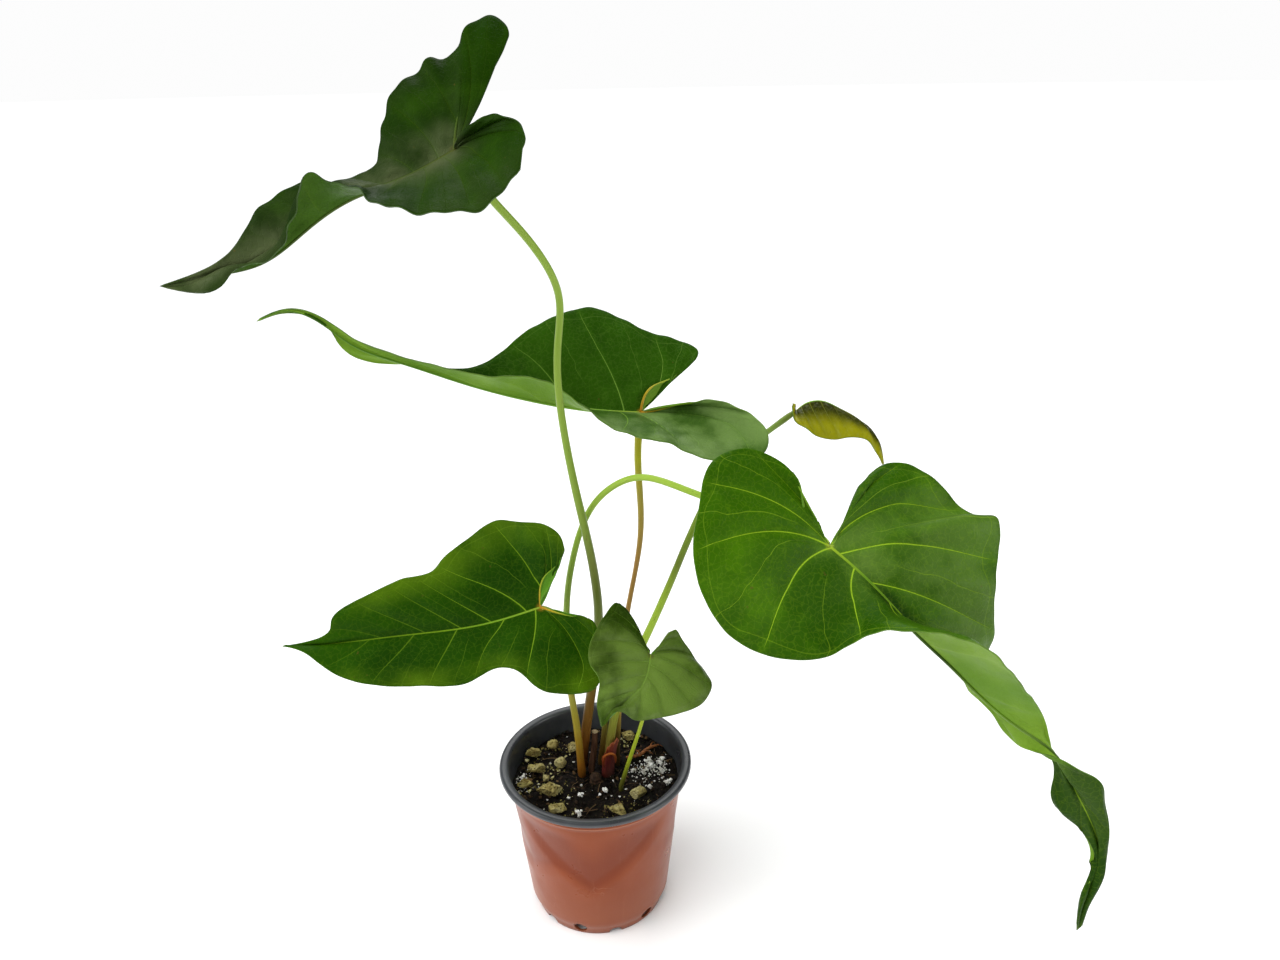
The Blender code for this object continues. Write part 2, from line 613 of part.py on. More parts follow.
def make_blade(name, leaf, parts, rgb):
    """Both halves share the midrib's points. The first vein line is the notch's edge, the last the tip."""
    midrib = above_soil(leaf["midrib"])
    lobe_rows, blade_rows, across = leaf["grid"]
    bm = bmesh.new()
    spine = {}
    for side, key in ((1, "right"), (-1, "left")):
        rows = half_blade(midrib, above_soil(leaf[key]), side, leaf["bulge"], leaf["grid"])
        verts = []
        for r, row in enumerate(rows):
            step = max(0, r - lobe_rows)
            if step not in spine:
                spine[step] = bm.verts.new(row[0] * MM)
            if r == lobe_rows + blade_rows:
                verts.append([spine[step]] * (across + 1))
            else:
                verts.append([spine[step]] + [bm.verts.new(point * MM) for point in row[1:]])
        for low, high in zip(verts, verts[1:]):
            for i in range(across):
                corners = list(dict.fromkeys((low[i], low[i + 1], high[i + 1], high[i])))
                if len(corners) > 2:
                    bm.faces.new(corners)
    blade = add(f"blade_{name}", mesh_from(bm, f"blade_{name}"), parts, rgb, 0.35)
    thicken(blade, BLADE_THICKNESS)


def make_blades(parts):
    colours = dict(top=(0.05, 0.14, 0.02), middle=(0.05, 0.14, 0.03), side=(0.06, 0.18, 0.02),
                   low=(0.05, 0.16, 0.02), small=(0.09, 0.2, 0.05), young=(0.16, 0.18, 0.02))
    for name, leaf in BLADES.items():
        make_blade(name, leaf, parts, colours[name])


def build():
    clear_scene()
    parts = collection("potted_anthurium")
    cutters = collection("cutters", hidden=True)
    make_pot(parts, cutters)
    make_soil(parts, cutters)
    make_grit(parts)
    make_crown(parts)
    make_sheath(parts)
    make_stalks(parts)
    make_blades(parts)


build()
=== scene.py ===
import math
import random

import bmesh
import bpy
import numpy as np
from mathutils import Matrix, Vector, noise


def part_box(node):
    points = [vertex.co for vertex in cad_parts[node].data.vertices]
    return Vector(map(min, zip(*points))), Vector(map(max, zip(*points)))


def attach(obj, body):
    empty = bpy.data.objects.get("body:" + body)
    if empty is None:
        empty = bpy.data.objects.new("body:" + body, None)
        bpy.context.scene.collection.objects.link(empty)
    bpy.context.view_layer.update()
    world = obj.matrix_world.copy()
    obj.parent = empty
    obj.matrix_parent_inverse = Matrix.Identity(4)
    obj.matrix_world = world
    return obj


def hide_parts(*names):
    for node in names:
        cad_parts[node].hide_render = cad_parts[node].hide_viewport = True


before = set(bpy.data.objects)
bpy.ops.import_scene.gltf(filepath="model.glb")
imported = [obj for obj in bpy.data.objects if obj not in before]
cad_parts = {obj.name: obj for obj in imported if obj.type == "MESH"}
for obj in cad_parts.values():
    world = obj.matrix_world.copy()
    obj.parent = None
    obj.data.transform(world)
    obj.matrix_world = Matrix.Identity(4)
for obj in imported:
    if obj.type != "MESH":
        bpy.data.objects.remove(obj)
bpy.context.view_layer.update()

# Looks for the potted anthurium. Sizes are in millimetres, turned into metres by MM.
# Plant coordinates have their height measured from the soil surface, as in the part's own source.
MM = 0.001
POT_HEIGHT = 103.0
RIM_RADIUS = 60.0
RIM_OVERHANG = 5.2
RIM_DEPTH = 4.4
BASE_RADIUS = 43.5
WALL = 1.2
FLOOR_HEIGHT = 5.0
LEDGE_DROP = 10.0
LEDGE_STEP = 0.7
PAD_RADIUS = 12.0
FOOT_COUNT = 12
SOIL_DROP = 15.0
SOIL_LEVEL = POT_HEIGHT - SOIL_DROP
SOCKET_DEPTH = 7.0
BODY_TOP_RADIUS = RIM_RADIUS - RIM_OVERHANG
BLADE_THICKNESS = 0.6
VEIN_DEPTH = 0.30
VEIN_WIDTH = 0.9

# How many loose bits lie on the soil, and how many CAD nodes the chunks and the perlite have.
SOIL_CRUMBS = 1900
SOIL_FIBRES = 60
POROUS_CRUMBS = 420
PERLITE_GRAINS = 330
CHUNK_COUNT = 12
CLUMP_COUNT = 12

# The camera: place in metres, angles in degrees, lens in millimetres.
CAMERA_PLACE = (0.031, -0.511, 0.501)
CAMERA_PITCH = 22.4
CAMERA_ROLL = -1.0
CAMERA_LENS = 28.0

random.seed(7)

# Blades: the midrib from the stalk's joint to the tip, and both margins from the notch round the lobe to the
# tip. A margin point starts with how far along the midrib its vein leaves. "notch" holds points on the curved
# edge between the joint and the margin's first point. "veins" are the rows of the grid that are main veins.
# "ripple" and "wave" are heights in millimetres: between the veins, and of the margin. The sheen entry is how
# much painted grey sheen each half gets, as (lobe, rest of the blade), and how much more along the midrib.
BLADES = {
    "top": dict(
        grid=(9, 20), bulge=0.05, ripple=1.4, wave=0.9,
        painted_sheen=dict(right=(0.0, 0.1), left=(0.1, 0.15), rib=0.8),
        notch=dict(right=[(-51, -22, 391), (-48, -16, 400), (-43, -9, 408), (-38, -4, 415)],
                   left=[(-48, -32, 386), (-42, -37, 391), (-35, -43, 395)]),
        veins=dict(right=[2.5, 8, 11.5, 14, 16.5, 18.5, 20.5, 22.5, 25],
                   left=[3, 8.6, 11, 13.2, 15.5, 17.5, 20, 22.5, 25.5]),
        midrib=[(-52, -28, 380), (-75, -34, 369), (-98, -40, 361), (-118, -46, 349), (-140, -50, 334),
                (-162, -52, 329), (-187, -55, 325)],
        right=[(0, -32, 0, 422), (0, -28, 5, 430), (0, -31, 8, 436), (0, -37, 8, 438), (0, -45, 6, 434),
               (0, -50, 3, 428), (0.005, -53, 2, 423), (0.015, -60, 2, 419), (0.03, -65, 1, 419),
               (0.05, -70, 0, 415), (0.08, -78, -3, 410), (0.11, -83, -5, 404), (0.15, -87, -10, 395),
               (0.19, -88, -15, 386), (0.26, -91, -22, 374), (0.36, -107, -24, 367),
               (0.48, -125, -28, 366), (0.62, -141, -36, 358), (0.74, -149, -44, 347),
               (0.85, -157, -50, 337)],
        left=[(0, -27, -48, 396), (0, -16, -60, 389), (0.01, -19, -74, 374), (0.06, -30, -82, 362),
              (0.15, -51, -84, 359), (0.26, -77, -76, 362), (0.36, -93, -62, 368),
              (0.46, -104, -58, 371), (0.53, -111, -58, 373), (0.58, -117, -57, 367),
              (0.66, -119, -59, 357), (0.72, -125, -60, 346), (0.79, -137, -60, 335),
              (0.85, -148, -58, 334), (0.92, -159, -57, 324)],
    ),
    "middle": dict(
        grid=(9, 20), bulge=0.05, ripple=0.9, wave=0.45,
        painted_sheen=dict(right=(0.0, 0.0), left=(0.85, 0.7), rib=0.0),
        notch=dict(right=[(34, 52, 233), (38, 56, 238), (51, 66, 241), (63, 76, 247)],
                   left=[(43, 46, 228), (57, 38, 234)]),
        veins=dict(right=[0.7, 10.8, 15.3, 18.5, 21, 23.5, 26],
                   left=[4, 10.2, 11.7, 13.8, 16.5, 19.5, 22.5, 25.5]),
        midrib=[(32, 50, 225), (1, 46, 229), (-42, 40, 240), (-70, 36, 250), (-100, 30, 263),
                (-126, 26, 275), (-141, 22, 289), (-157, 20, 296), (-174, 18, 291)],
        right=[(0, 68, 82, 253), (0, 50, 86, 261), (0.06, 33, 86, 267), (0.14, 5, 90, 279),
               (0.22, -15, 80, 278), (0.3, -36, 68, 270), (0.38, -56, 50, 258), (0.46, -74, 42, 256),
               (0.56, -93, 38, 260), (0.66, -111, 34, 262), (0.74, -126, 29, 267), (0.79, -134, 25, 277),
               (0.84, -138, 23, 287), (0.92, -156, 20, 295)],
        left=[(0, 76, 30, 238), (0, 92, 24, 233), (0, 103, 14, 224), (0.01, 100, 6, 215),
              (0.03, 69, -4, 215), (0.07, 48, 6, 221), (0.12, 21, 16, 225), (0.18, 2, 24, 236),
              (0.24, -13, 28, 247), (0.3, -27, 28, 254), (0.38, -52, 26, 256), (0.48, -75, 26, 261),
              (0.58, -97, 26, 267), (0.72, -125, 23, 280), (0.82, -138, 21, 291), (0.92, -155, 20, 297)],
    ),
    "side": dict(
        grid=(9, 26), bulge=0.05, ripple=2.2, wave=0.3,
        painted_sheen=dict(right=(0.0, 0.05), left=(0.1, 0.3), rib=0.25),
        notch=dict(right=[(120, -58, 192), (115, -54, 199), (113, -49, 210), (110, -43, 221)],
                   left=[(132, -57, 189), (140, -51, 193), (145, -44, 200), (147, -35, 210)]),
        veins=dict(right=[1.2, 5.4, 9.3, 12.6, 16.1, 19.2, 22.5, 26, 29, 32],
                   left=[3.4, 10.6, 14.2, 18.4, 22, 25.5, 29, 32]),
        midrib=[(126, -60, 189), (146, -70, 173), (167, -82, 152), (183, -90, 138), (200, -98, 122),
                (217, -104, 109), (233, -108, 97), (246, -114, 76), (259, -120, 47), (258, -123, 35),
                (253, -126, 22), (251, -128, 1)],
        right=[(0, 98, -38, 230), (0, 83, -40, 235), (0, 66, -50, 231), (0, 60, -66, 218),
               (0, 56, -80, 201), (0.01, 60, -94, 181), (0.03, 73, -104, 164), (0.06, 93, -108, 155),
               (0.1, 121, -104, 153), (0.15, 136, -104, 163), (0.22, 155, -118, 174),
               (0.29, 176, -128, 175), (0.35, 186, -132, 171), (0.43, 203, -126, 151),
               (0.52, 221, -113, 126), (0.57, 229, -106, 111), (0.62, 234, -105, 95),
               (0.67, 236, -107, 82), (0.72, 235, -109, 73), (0.75, 238, -111, 66), (0.8, 245, -113, 60),
               (0.85, 251, -117, 54), (0.89, 256, -120, 46), (0.93, 255, -123, 36),
               (0.965, 251, -126, 26)],
        left=[(0, 157, -25, 218), (0, 173, -20, 217), (0, 191, -24, 206), (0.02, 208, -32, 192),
              (0.045, 217, -39, 194), (0.06, 218, -43, 187), (0.1, 215, -53, 170), (0.18, 213, -62, 151),
              (0.26, 212, -64, 129), (0.33, 201, -70, 112), (0.4, 206, -83, 108), (0.46, 215, -94, 98),
              (0.53, 221, -105, 97), (0.6, 233, -115, 99), (0.66, 243, -118, 94), (0.71, 254, -119, 87),
              (0.76, 257, -119, 77), (0.82, 261, -121, 62), (0.88, 262, -122, 48), (0.92, 261, -124, 35),
              (0.96, 255, -126, 22)],
    ),
    "low": dict(
        grid=(8, 16), bulge=0.05, ripple=1, wave=0.6,
        painted_sheen=dict(right=(0.0, 0.0), left=(0.0, 0.0), rib=0.0),
        notch=dict(right=[(-25, -29, 149), (-22, -28, 158), (-16, -26, 163)],
                   left=[(-14, -34, 138), (-4, -35, 136)]),
        veins=dict(right=[0.8, 7.2, 9.9, 13.2, 15.2, 17.2, 19.4, 21.6],
                   left=[3, 8.8, 12, 15.4, 17.8, 20, 22]),
        midrib=[(-25, -30, 140), (-58, -38, 134), (-100, -46, 133), (-130, -52, 133), (-159, -58, 135)],
        right=[(0, -11, -24, 171), (0, -13, -21, 179), (0, -23, -18, 185), (0.01, -39, -14, 185),
               (0.03, -48, -12, 185), (0.08, -63, -16, 177), (0.16, -78, -23, 167),
               (0.22, -84, -28, 162), (0.34, -97, -33, 161), (0.45, -107, -38, 159),
               (0.56, -118, -42, 155), (0.66, -128, -46, 151), (0.74, -134, -50, 146),
               (0.79, -135, -52, 141), (0.88, -146, -55, 136)],
        left=[(0, 3, -36, 135), (0, 8, -44, 117), (0, 5, -54, 103), (0.02, -14, -62, 105),
              (0.08, -25, -64, 110), (0.16, -36, -58, 117), (0.24, -50, -56, 117), (0.34, -62, -62, 113),
              (0.48, -82, -66, 114), (0.62, -107, -68, 116), (0.8, -133, -66, 124),
              (0.9, -146, -62, 133)],
    ),
    "small": dict(
        grid=(6, 13), bulge=0.05, ripple=1.8, wave=0.5,
        painted_sheen=dict(right=(0.0, 0.95), left=(0.6, 0.9), rib=0.1),
        notch=dict(right=[(32, -43, 120), (27, -41, 127)],
                   left=[(39, -41, 116), (45, -37, 121)]),
        veins=dict(right=[1.5, 5, 8, 10.5, 13, 15.5],
                   left=[2, 6, 8.6, 10.6, 12.8, 15]),
        midrib=[(35, -46, 118), (31, -60, 110), (21, -74, 107), (9, -86, 101)],
        right=[(0, 23, -39, 135), (0, 17, -37, 146), (0, 11, -41, 141), (0.02, 6, -50, 137),
               (0.1, 2, -58, 127), (0.24, 5, -65, 121), (0.36, 8, -70, 117), (0.5, 7, -75, 112),
               (0.75, 7, -81, 107)],
        left=[(0, 49, -33, 126), (0, 53, -34, 120), (0, 59, -36, 111), (0.03, 65, -43, 105),
              (0.08, 68, -50, 101), (0.15, 64, -58, 96), (0.24, 55, -65, 95), (0.36, 44, -71, 96),
              (0.48, 34, -75, 97), (0.6, 26, -78, 99), (0.68, 21, -79, 104), (0.78, 16, -81, 106),
              (0.9, 12, -85, 103)],
    ),
    "young": dict(
        grid=(6, 13), bulge=0.08, ripple=1.5, wave=1.0,
        painted_sheen=dict(right=(0.0, 0.0), left=(0.0, 0.0), rib=0.0),
        notch=dict(right=[],
                   left=[]),
        veins=dict(right=[6.6, 7.8, 9.2, 10.6, 12, 13.6, 15.4, 17.2],
                   left=[6.6, 8, 10, 12, 14, 16]),
        midrib=[(125, 56, 222), (131, 56, 227), (140, 54, 229), (149, 50, 226), (158, 45, 222),
                (166, 40, 216), (172, 35, 207), (173, 30, 197)],
        right=[(0, 122, 52, 227), (0, 123, 46, 221), (0.05, 129, 41, 216), (0.15, 137, 37, 212),
               (0.3, 147, 34, 212), (0.48, 155, 33, 213), (0.64, 163, 32, 212), (0.8, 168, 31, 206)],
        left=[(0, 124, 62, 225), (0, 128, 68, 217), (0.1, 135, 70, 208), (0.3, 153, 62, 204),
              (0.48, 161, 54, 207), (0.64, 167, 46, 208), (0.8, 171, 38, 204)],
    ),
}
NOTCH_ROWS = 3
ROWS_BETWEEN = 7
ACROSS = 30

# Stalks: foot, radii at even steps, path up to the blade's joint.
STALKS = {
    "top": dict(
        foot=(-9, 13), radii=[3.2, 2.9, 2.5, 2.1, 2.0, 2.0],
        path=[(-6, 6, 27), (-1, -2, 63), (4, -12, 97), (6, -15, 132), (2, -15, 170), (-3, -12, 196),
              (-10, -6, 240), (-11, -2, 278), (-9, 0, 304), (-15, -6, 324), (-26, -14, 342),
              (-38, -21, 358), (-52, -28, 380)],
        colours=[(0.0, (0.05, 0.012, 0.004)), (0.05, (0.22, 0.075, 0.012)), (0.16, (0.15, 0.075, 0.014)),
                 (0.3, (0.10, 0.13, 0.02)), (0.4, (0.10, 0.12, 0.018)), (0.52, (0.18, 0.27, 0.035)),
                 (0.8, (0.22, 0.34, 0.045)), (0.97, (0.20, 0.31, 0.035)), (1.0, (0.2, 0.25, 0.03))]),
    "middle": dict(
        foot=(13, 12), radii=[2.2, 1.8, 1.6, 1.6, 2.1, 2.4],
        path=[(15, 14, 39), (22, 24, 105), (31, 36, 155), (30, 44, 197), (32, 50, 225)],
        colours=[(0.0, (0.03, 0.014, 0.005)), (0.1, (0.06, 0.035, 0.01)), (0.2, (0.36, 0.24, 0.03)),
                 (0.4, (0.27, 0.14, 0.03)), (0.62, (0.30, 0.16, 0.045)), (0.8, (0.30, 0.24, 0.04)),
                 (0.88, (0.38, 0.36, 0.02)), (1.0, (0.40, 0.33, 0.02))]),
    "side": dict(
        foot=(-9, 2), radii=[2.5, 2.1, 1.9, 1.8, 1.8, 2.0],
        path=[(-11, -1, 44), (-13, -2, 65), (-13, -4, 123), (-8, -5, 156), (4, -6, 189), (20, -12, 206),
              (34, -20, 212), (52, -30, 210), (67, -36, 206), (97, -42, 198), (117, -46, 192),
              (126, -60, 189)],
        colours=[(0.0, (0.05, 0.014, 0.004)), (0.05, (0.32, 0.12, 0.012)), (0.13, (0.36, 0.26, 0.03)),
                 (0.3, (0.20, 0.27, 0.03)), (0.45, (0.20, 0.31, 0.035)), (0.7, (0.29, 0.44, 0.05)),
                 (1.0, (0.30, 0.44, 0.04))]),
    "low": dict(
        foot=(3, 13), radii=[2.1, 1.8, 1.6, 1.5, 1.6],
        path=[(6, 9, 29), (8, 1, 56), (6, -14, 87), (-3, -22, 114), (-15, -27, 132), (-25, -30, 140)],
        colours=[(0.0, (0.04, 0.014, 0.004)), (0.12, (0.20, 0.11, 0.02)), (0.35, (0.24, 0.26, 0.045)),
                 (0.7, (0.27, 0.38, 0.07)), (1.0, (0.34, 0.38, 0.07))]),
    "young": dict(
        foot=(7, 3), radii=[2.8, 2.6, 2.2, 1.9, 1.7],
        path=[(15, 5, 52), (32, 4, 97), (48, 6, 135), (65, 14, 174), (84, 30, 199), (106, 46, 212),
              (125, 56, 222)],
        colours=[(0.0, (0.05, 0.02, 0.006)), (0.1, (0.20, 0.16, 0.03)), (0.3, (0.36, 0.49, 0.04)),
                 (0.45, (0.29, 0.42, 0.035)), (0.58, (0.11, 0.15, 0.018)), (0.72, (0.16, 0.26, 0.02)),
                 (0.9, (0.14, 0.25, 0.04)), (1.0, (0.12, 0.16, 0.03))]),
    "small": dict(
        foot=(16, -13), radii=[1.5, 1.2, 1.1, 1.1, 1.2],
        path=[(22, -14, 25), (30, -20, 57), (35, -32, 93), (35, -46, 118)],
        colours=[(0.0, (0.03, 0.02, 0.005)), (0.1, (0.10, 0.10, 0.014)), (0.22, (0.33, 0.40, 0.02)),
                 (0.6, (0.40, 0.50, 0.05)), (1.0, (0.45, 0.50, 0.12))]),
}
STUB = dict(foot=(-3, 5), top=(0, 6, 30), radius=1.9)
CROWN = dict(foot=(0, -4), radius=3.6, height=6.0)
SHEATH = dict(foot=(7, 3), turn=(-150, 60), height=27.0, radius=4.15, wall=0.5)
ROOT = dict(path=[(19, 15), (26, 17), (32, 24), (39, 27)], radius=1.1)


# ---------------------------------------------------------------- node materials

class Paint:
    """A node material built step by step. A socket takes a number, a colour or another node's output."""

    def __init__(self, name):
        self.material = bpy.data.materials.new(name)
        self.material.use_nodes = True
        self.tree = self.material.node_tree
        self.shader = self.tree.nodes["Principled BSDF"]
        self.place = None

    def put(self, socket, value):
        if isinstance(value, bpy.types.NodeSocket):
            self.tree.links.new(value, socket)
        elif socket.type == "RGBA" and len(value) == 3:
            socket.default_value = (*value, 1.0)
        else:
            socket.default_value = value

    def node(self, kind, inputs, **settings):
        made = self.tree.nodes.new(kind)
        for key, value in settings.items():
            setattr(made, key, value)
        for key, value in inputs.items():
            self.put(made.inputs[key], value)
        return made

    def where(self):
        if self.place is None:
            self.place = self.node("ShaderNodeTexCoord", {}).outputs["Object"]
        return self.place

    def scaled(self, x, y, z, vector=None):
        return self.node("ShaderNodeMapping", {"Vector": vector or self.where(),
                                               "Scale": (x, y, z)}).outputs["Vector"]

    def noise(self, scale, detail=4.0, rough=0.55, vector=None):
        return self.node("ShaderNodeTexNoise", {"Vector": vector or self.where(), "Scale": scale,
                                                "Detail": detail, "Roughness": rough}).outputs["Fac"]

    def cells(self, scale, feature="DISTANCE_TO_EDGE", vector=None):
        made = self.node("ShaderNodeTexVoronoi", {"Vector": vector or self.where(), "Scale": scale},
                         feature=feature)
        return made.outputs["Distance"]

    def wobbled(self, scale, amount):
        """Object coordinates pushed about by noise, so that cells don't look machine made."""
        push = self.node("ShaderNodeTexNoise", {"Vector": self.where(), "Scale": scale, "Detail": 2.0})
        moved = self.node("ShaderNodeVectorMath", {0: push.outputs["Color"], 1: (amount,) * 3},
                          operation="MULTIPLY")
        return self.node("ShaderNodeVectorMath", {0: self.where(), 1: moved.outputs["Vector"]},
                         operation="ADD").outputs["Vector"]

    def attribute(self, name, output="Fac"):
        return self.node("ShaderNodeAttribute", {}, attribute_name=name).outputs[output]

    def math(self, operation, a, b=0.0):
        return self.node("ShaderNodeMath", {0: a, 1: b}, operation=operation).outputs["Value"]

    def times(self, a, b):
        return self.math("MULTIPLY", a, b)

    def plus(self, a, b):
        return self.math("ADD", a, b)

    def minus(self, a, b):
        return self.math("SUBTRACT", a, b)

    def fade(self, value, start, end, low=0.0, high=1.0):
        return self.node("ShaderNodeMapRange", {"Value": value, "From Min": start, "From Max": end,
                                                "To Min": low, "To Max": high},
                         interpolation_type="SMOOTHSTEP").outputs["Result"]

    def ramp(self, value, stops):
        made = self.node("ShaderNodeValToRGB", {"Fac": value})
        band = made.color_ramp
        while len(band.elements) < len(stops):
            band.elements.new(0.5)
        for element, (position, _) in zip(band.elements, stops):
            element.position = position
        for element, (_, colour) in zip(band.elements, stops):
            element.color = (*colour, 1.0)
        return made.outputs["Color"]

    def mix(self, share, a, b, how="MIX"):
        made = self.tree.nodes.new("ShaderNodeMix")
        made.data_type = "RGBA"
        made.blend_type = how
        self.put(made.inputs["Factor"], share)
        self.put(made.inputs["A"] if made.inputs["A"].type == "RGBA" else made.inputs[6], a)
        self.put(made.inputs["B"] if made.inputs["B"].type == "RGBA" else made.inputs[7], b)
        return made.outputs[2]

    def bump(self, height, distance, strength):
        return self.node("ShaderNodeBump", {"Height": height, "Distance": distance * MM,
                                            "Strength": strength}).outputs["Normal"]

    def finish(self, **sockets):
        for key, value in sockets.items():
            self.put(self.shader.inputs[key.replace("_", " ")], value)
        return self.material


def vein_masks(p, width):
    """Main veins, side veins and the fine net, each 1 on the vein, and how near a main vein is."""
    phase = p.attribute("vein_phase")
    gap = p.attribute("vein_gap")
    reach = p.attribute("reach")
    stem = p.attribute("stem")
    bold = p.attribute("vein_strength")
    main_at = p.math("ABSOLUTE", p.minus(p.math("FRACT", p.plus(phase, 0.5)), 0.5))
    main_far = p.times(main_at, gap)
    thick = p.fade(reach, 0.0, 1.0, width, 0.3 * width)
    main = p.minus(1.0, p.fade(main_far, 0.0, thick))
    main = p.times(p.times(main, p.fade(reach, 0.86, 0.98, 1.0, 0.0)), bold)
    rib = p.minus(1.0, p.fade(p.attribute("from_rib"), 0.3, p.fade(stem, 0.0, 0.7, 1.3 * width, 0.7)))
    main = p.math("MAXIMUM", main, p.times(rib, p.fade(stem, 0.0, 0.8, 1.0, 0.45)))
    wander = p.times(p.minus(p.noise(45.0, 2.0), 0.5), 0.3)
    side_at = p.math("ABSOLUTE", p.minus(p.math("FRACT", p.plus(phase, wander)), 0.5))
    side = p.fade(p.times(side_at, gap), 0.0, 0.45 * width, 1.0, 0.0)
    side = p.times(p.times(side, p.fade(reach, 0.15, 0.4)), bold)
    edge_line = p.fade(p.math("ABSOLUTE", p.attribute("from_collector")), 0.0, 0.5 * width, 0.6, 0.0)
    side = p.math("MAXIMUM", side, p.times(edge_line, bold))
    net = p.fade(p.cells(330.0, vector=p.wobbled(150.0, 0.006)), 0.0, 0.09, 1.0, 0.0)
    near = p.times(p.fade(main_far, 0.0, 4.0, 1.0, 0.0), bold)
    return main, side, net, near


def leaf_upper(name, deep, mid, light, vein, width, gloss, vein_show, painted_sheen, joint, pale_patches=0.0,
               rim_tint=None, painted_fold_shade=0.0, dull=0.05):
    p = Paint(name)
    main, side, net, near = vein_masks(p, width)
    colour = p.mix(p.fade(p.noise(11.0, 3.0), 0.33, 0.66), deep, mid)
    colour = p.mix(p.fade(p.noise(30.0, 5.0, 0.6), 0.48, 0.8, 0.0, 0.6), colour, light)
    if rim_tint:
        colour = p.mix(p.fade(p.attribute("reach"), 0.2, 0.75), colour, rim_tint)
    # Painted sheen: a grey-green colour mixed into the blade where it looks satiny, standing in for a
    # reflection; the same mask also raises the specular level.
    painted_sheen_and_gloss = p.times(p.attribute("painted_sheen"), p.fade(p.noise(26.0, 4.0), 0.36, 0.6, 0.15, 1.0))
    colour = p.mix(painted_sheen_and_gloss, colour, painted_sheen)
    colour = p.mix(p.times(near, 0.2), colour, light)
    stem = p.attribute("stem")
    # Painted shade: the crease along the midrib, which lies in the shadow of the half folded over it, is
    # darkened, and so is the blade past the fold, where the painted sheen is also taken away.
    if painted_fold_shade:
        painted_sheen_and_gloss = p.times(painted_sheen_and_gloss, p.fade(stem, 0.6, 0.66, 1.0, 0.0))
        fold = p.times(p.fade(p.attribute("from_rib"), 2.0, 9.0, painted_fold_shade, 0.0), p.fade(stem, 0.06, 0.16))
        fold = p.times(fold, p.fade(stem, 0.34, 0.5, 1.0, 0.0))
        colour = p.mix(p.math("MAXIMUM", fold, p.fade(stem, 0.6, 0.66, 0.0, 0.72)), colour,
                       (0.006, 0.026, 0.002))
    if pale_patches:
        patch = p.fade(p.noise(17.0, 3.0), 0.42, 0.62, 0.0, pale_patches)
        patch = p.times(patch, p.fade(p.attribute("reach"), 0.55, 1.0))
        colour = p.mix(patch, colour, (0.17, 0.30, 0.008))
    colour = p.mix(p.times(net, 0.07), colour, vein)
    colour = p.mix(p.times(side, 0.35 * vein_show), colour, vein)
    colour = p.mix(p.times(main, vein_show), colour, vein)
    colour = p.mix(p.fade(p.attribute("from_joint"), 0.5, 3.5, 0.6, 0.0), colour, joint)
    # Painted highlight: a lighter line along the margin, where light catches the leaf's edge.
    edge = p.fade(p.attribute("from_rim"), 0.1, 0.7, 1.0, 0.0)
    colour = p.mix(p.times(edge, 0.35), colour, light)
    speck = p.fade(p.noise(310.0, 2.0, 0.5), 0.74, 0.79, 0.0, 0.5)
    colour = p.mix(speck, colour, (0.08, 0.06, 0.012))
    relief = p.minus(p.noise(420.0, 4.0, 0.6), p.times(main, 1.2))
    relief = p.minus(relief, p.times(side, 0.8))
    relief = p.minus(relief, p.times(net, 0.4))
    relief = p.plus(relief, p.times(p.noise(95.0, 2.0), 2.2))
    rough = p.plus(p.fade(p.noise(85.0, 4.0), 0.3, 0.75, gloss, gloss + 0.17),
                   p.times(main, 0.08))
    return p.finish(Base_Color=colour, Roughness=rough, Normal=p.bump(relief, 0.25, 0.8),
                    Specular_IOR_Level=p.fade(painted_sheen_and_gloss, 0.1, 0.8, dull, dull + 0.3),
                    Specular_Tint=(0.85, 1.0, 0.55))


def leaf_under(name, deep, light, vein, width):
    p = Paint(name)
    main, side, net, near = vein_masks(p, width)
    colour = p.mix(p.fade(p.noise(22.0, 4.0), 0.3, 0.7), deep, light)
    colour = p.mix(p.times(near, 0.15), colour, vein)
    colour = p.mix(p.times(net, 0.14), colour, deep)
    colour = p.mix(p.times(side, 0.25), colour, vein)
    colour = p.mix(p.times(main, 0.5), colour, vein)
    relief = p.plus(p.noise(560.0, 4.0, 0.6), p.times(main, 1.4))
    relief = p.plus(relief, p.times(net, 0.5))
    relief = p.plus(relief, p.times(p.noise(90.0, 2.0), 1.8))
    rough = p.fade(p.noise(90.0), 0.3, 0.7, 0.45, 0.6)
    return p.finish(Base_Color=colour, Roughness=rough, Normal=p.bump(relief, 0.22, 0.7),
                    Specular_IOR_Level=0.2, Specular_Tint=(0.85, 1.0, 0.5))


def leaf_edge(name, rgb):
    p = Paint(name)
    colour = p.mix(p.fade(p.noise(150.0), 0.35, 0.75), rgb, tuple(0.6 * c for c in rgb))
    return p.finish(Base_Color=colour, Roughness=p.fade(p.noise(200.0), 0.3, 0.7, 0.4, 0.6),
                    Normal=p.bump(p.noise(800.0), 0.1, 0.5))


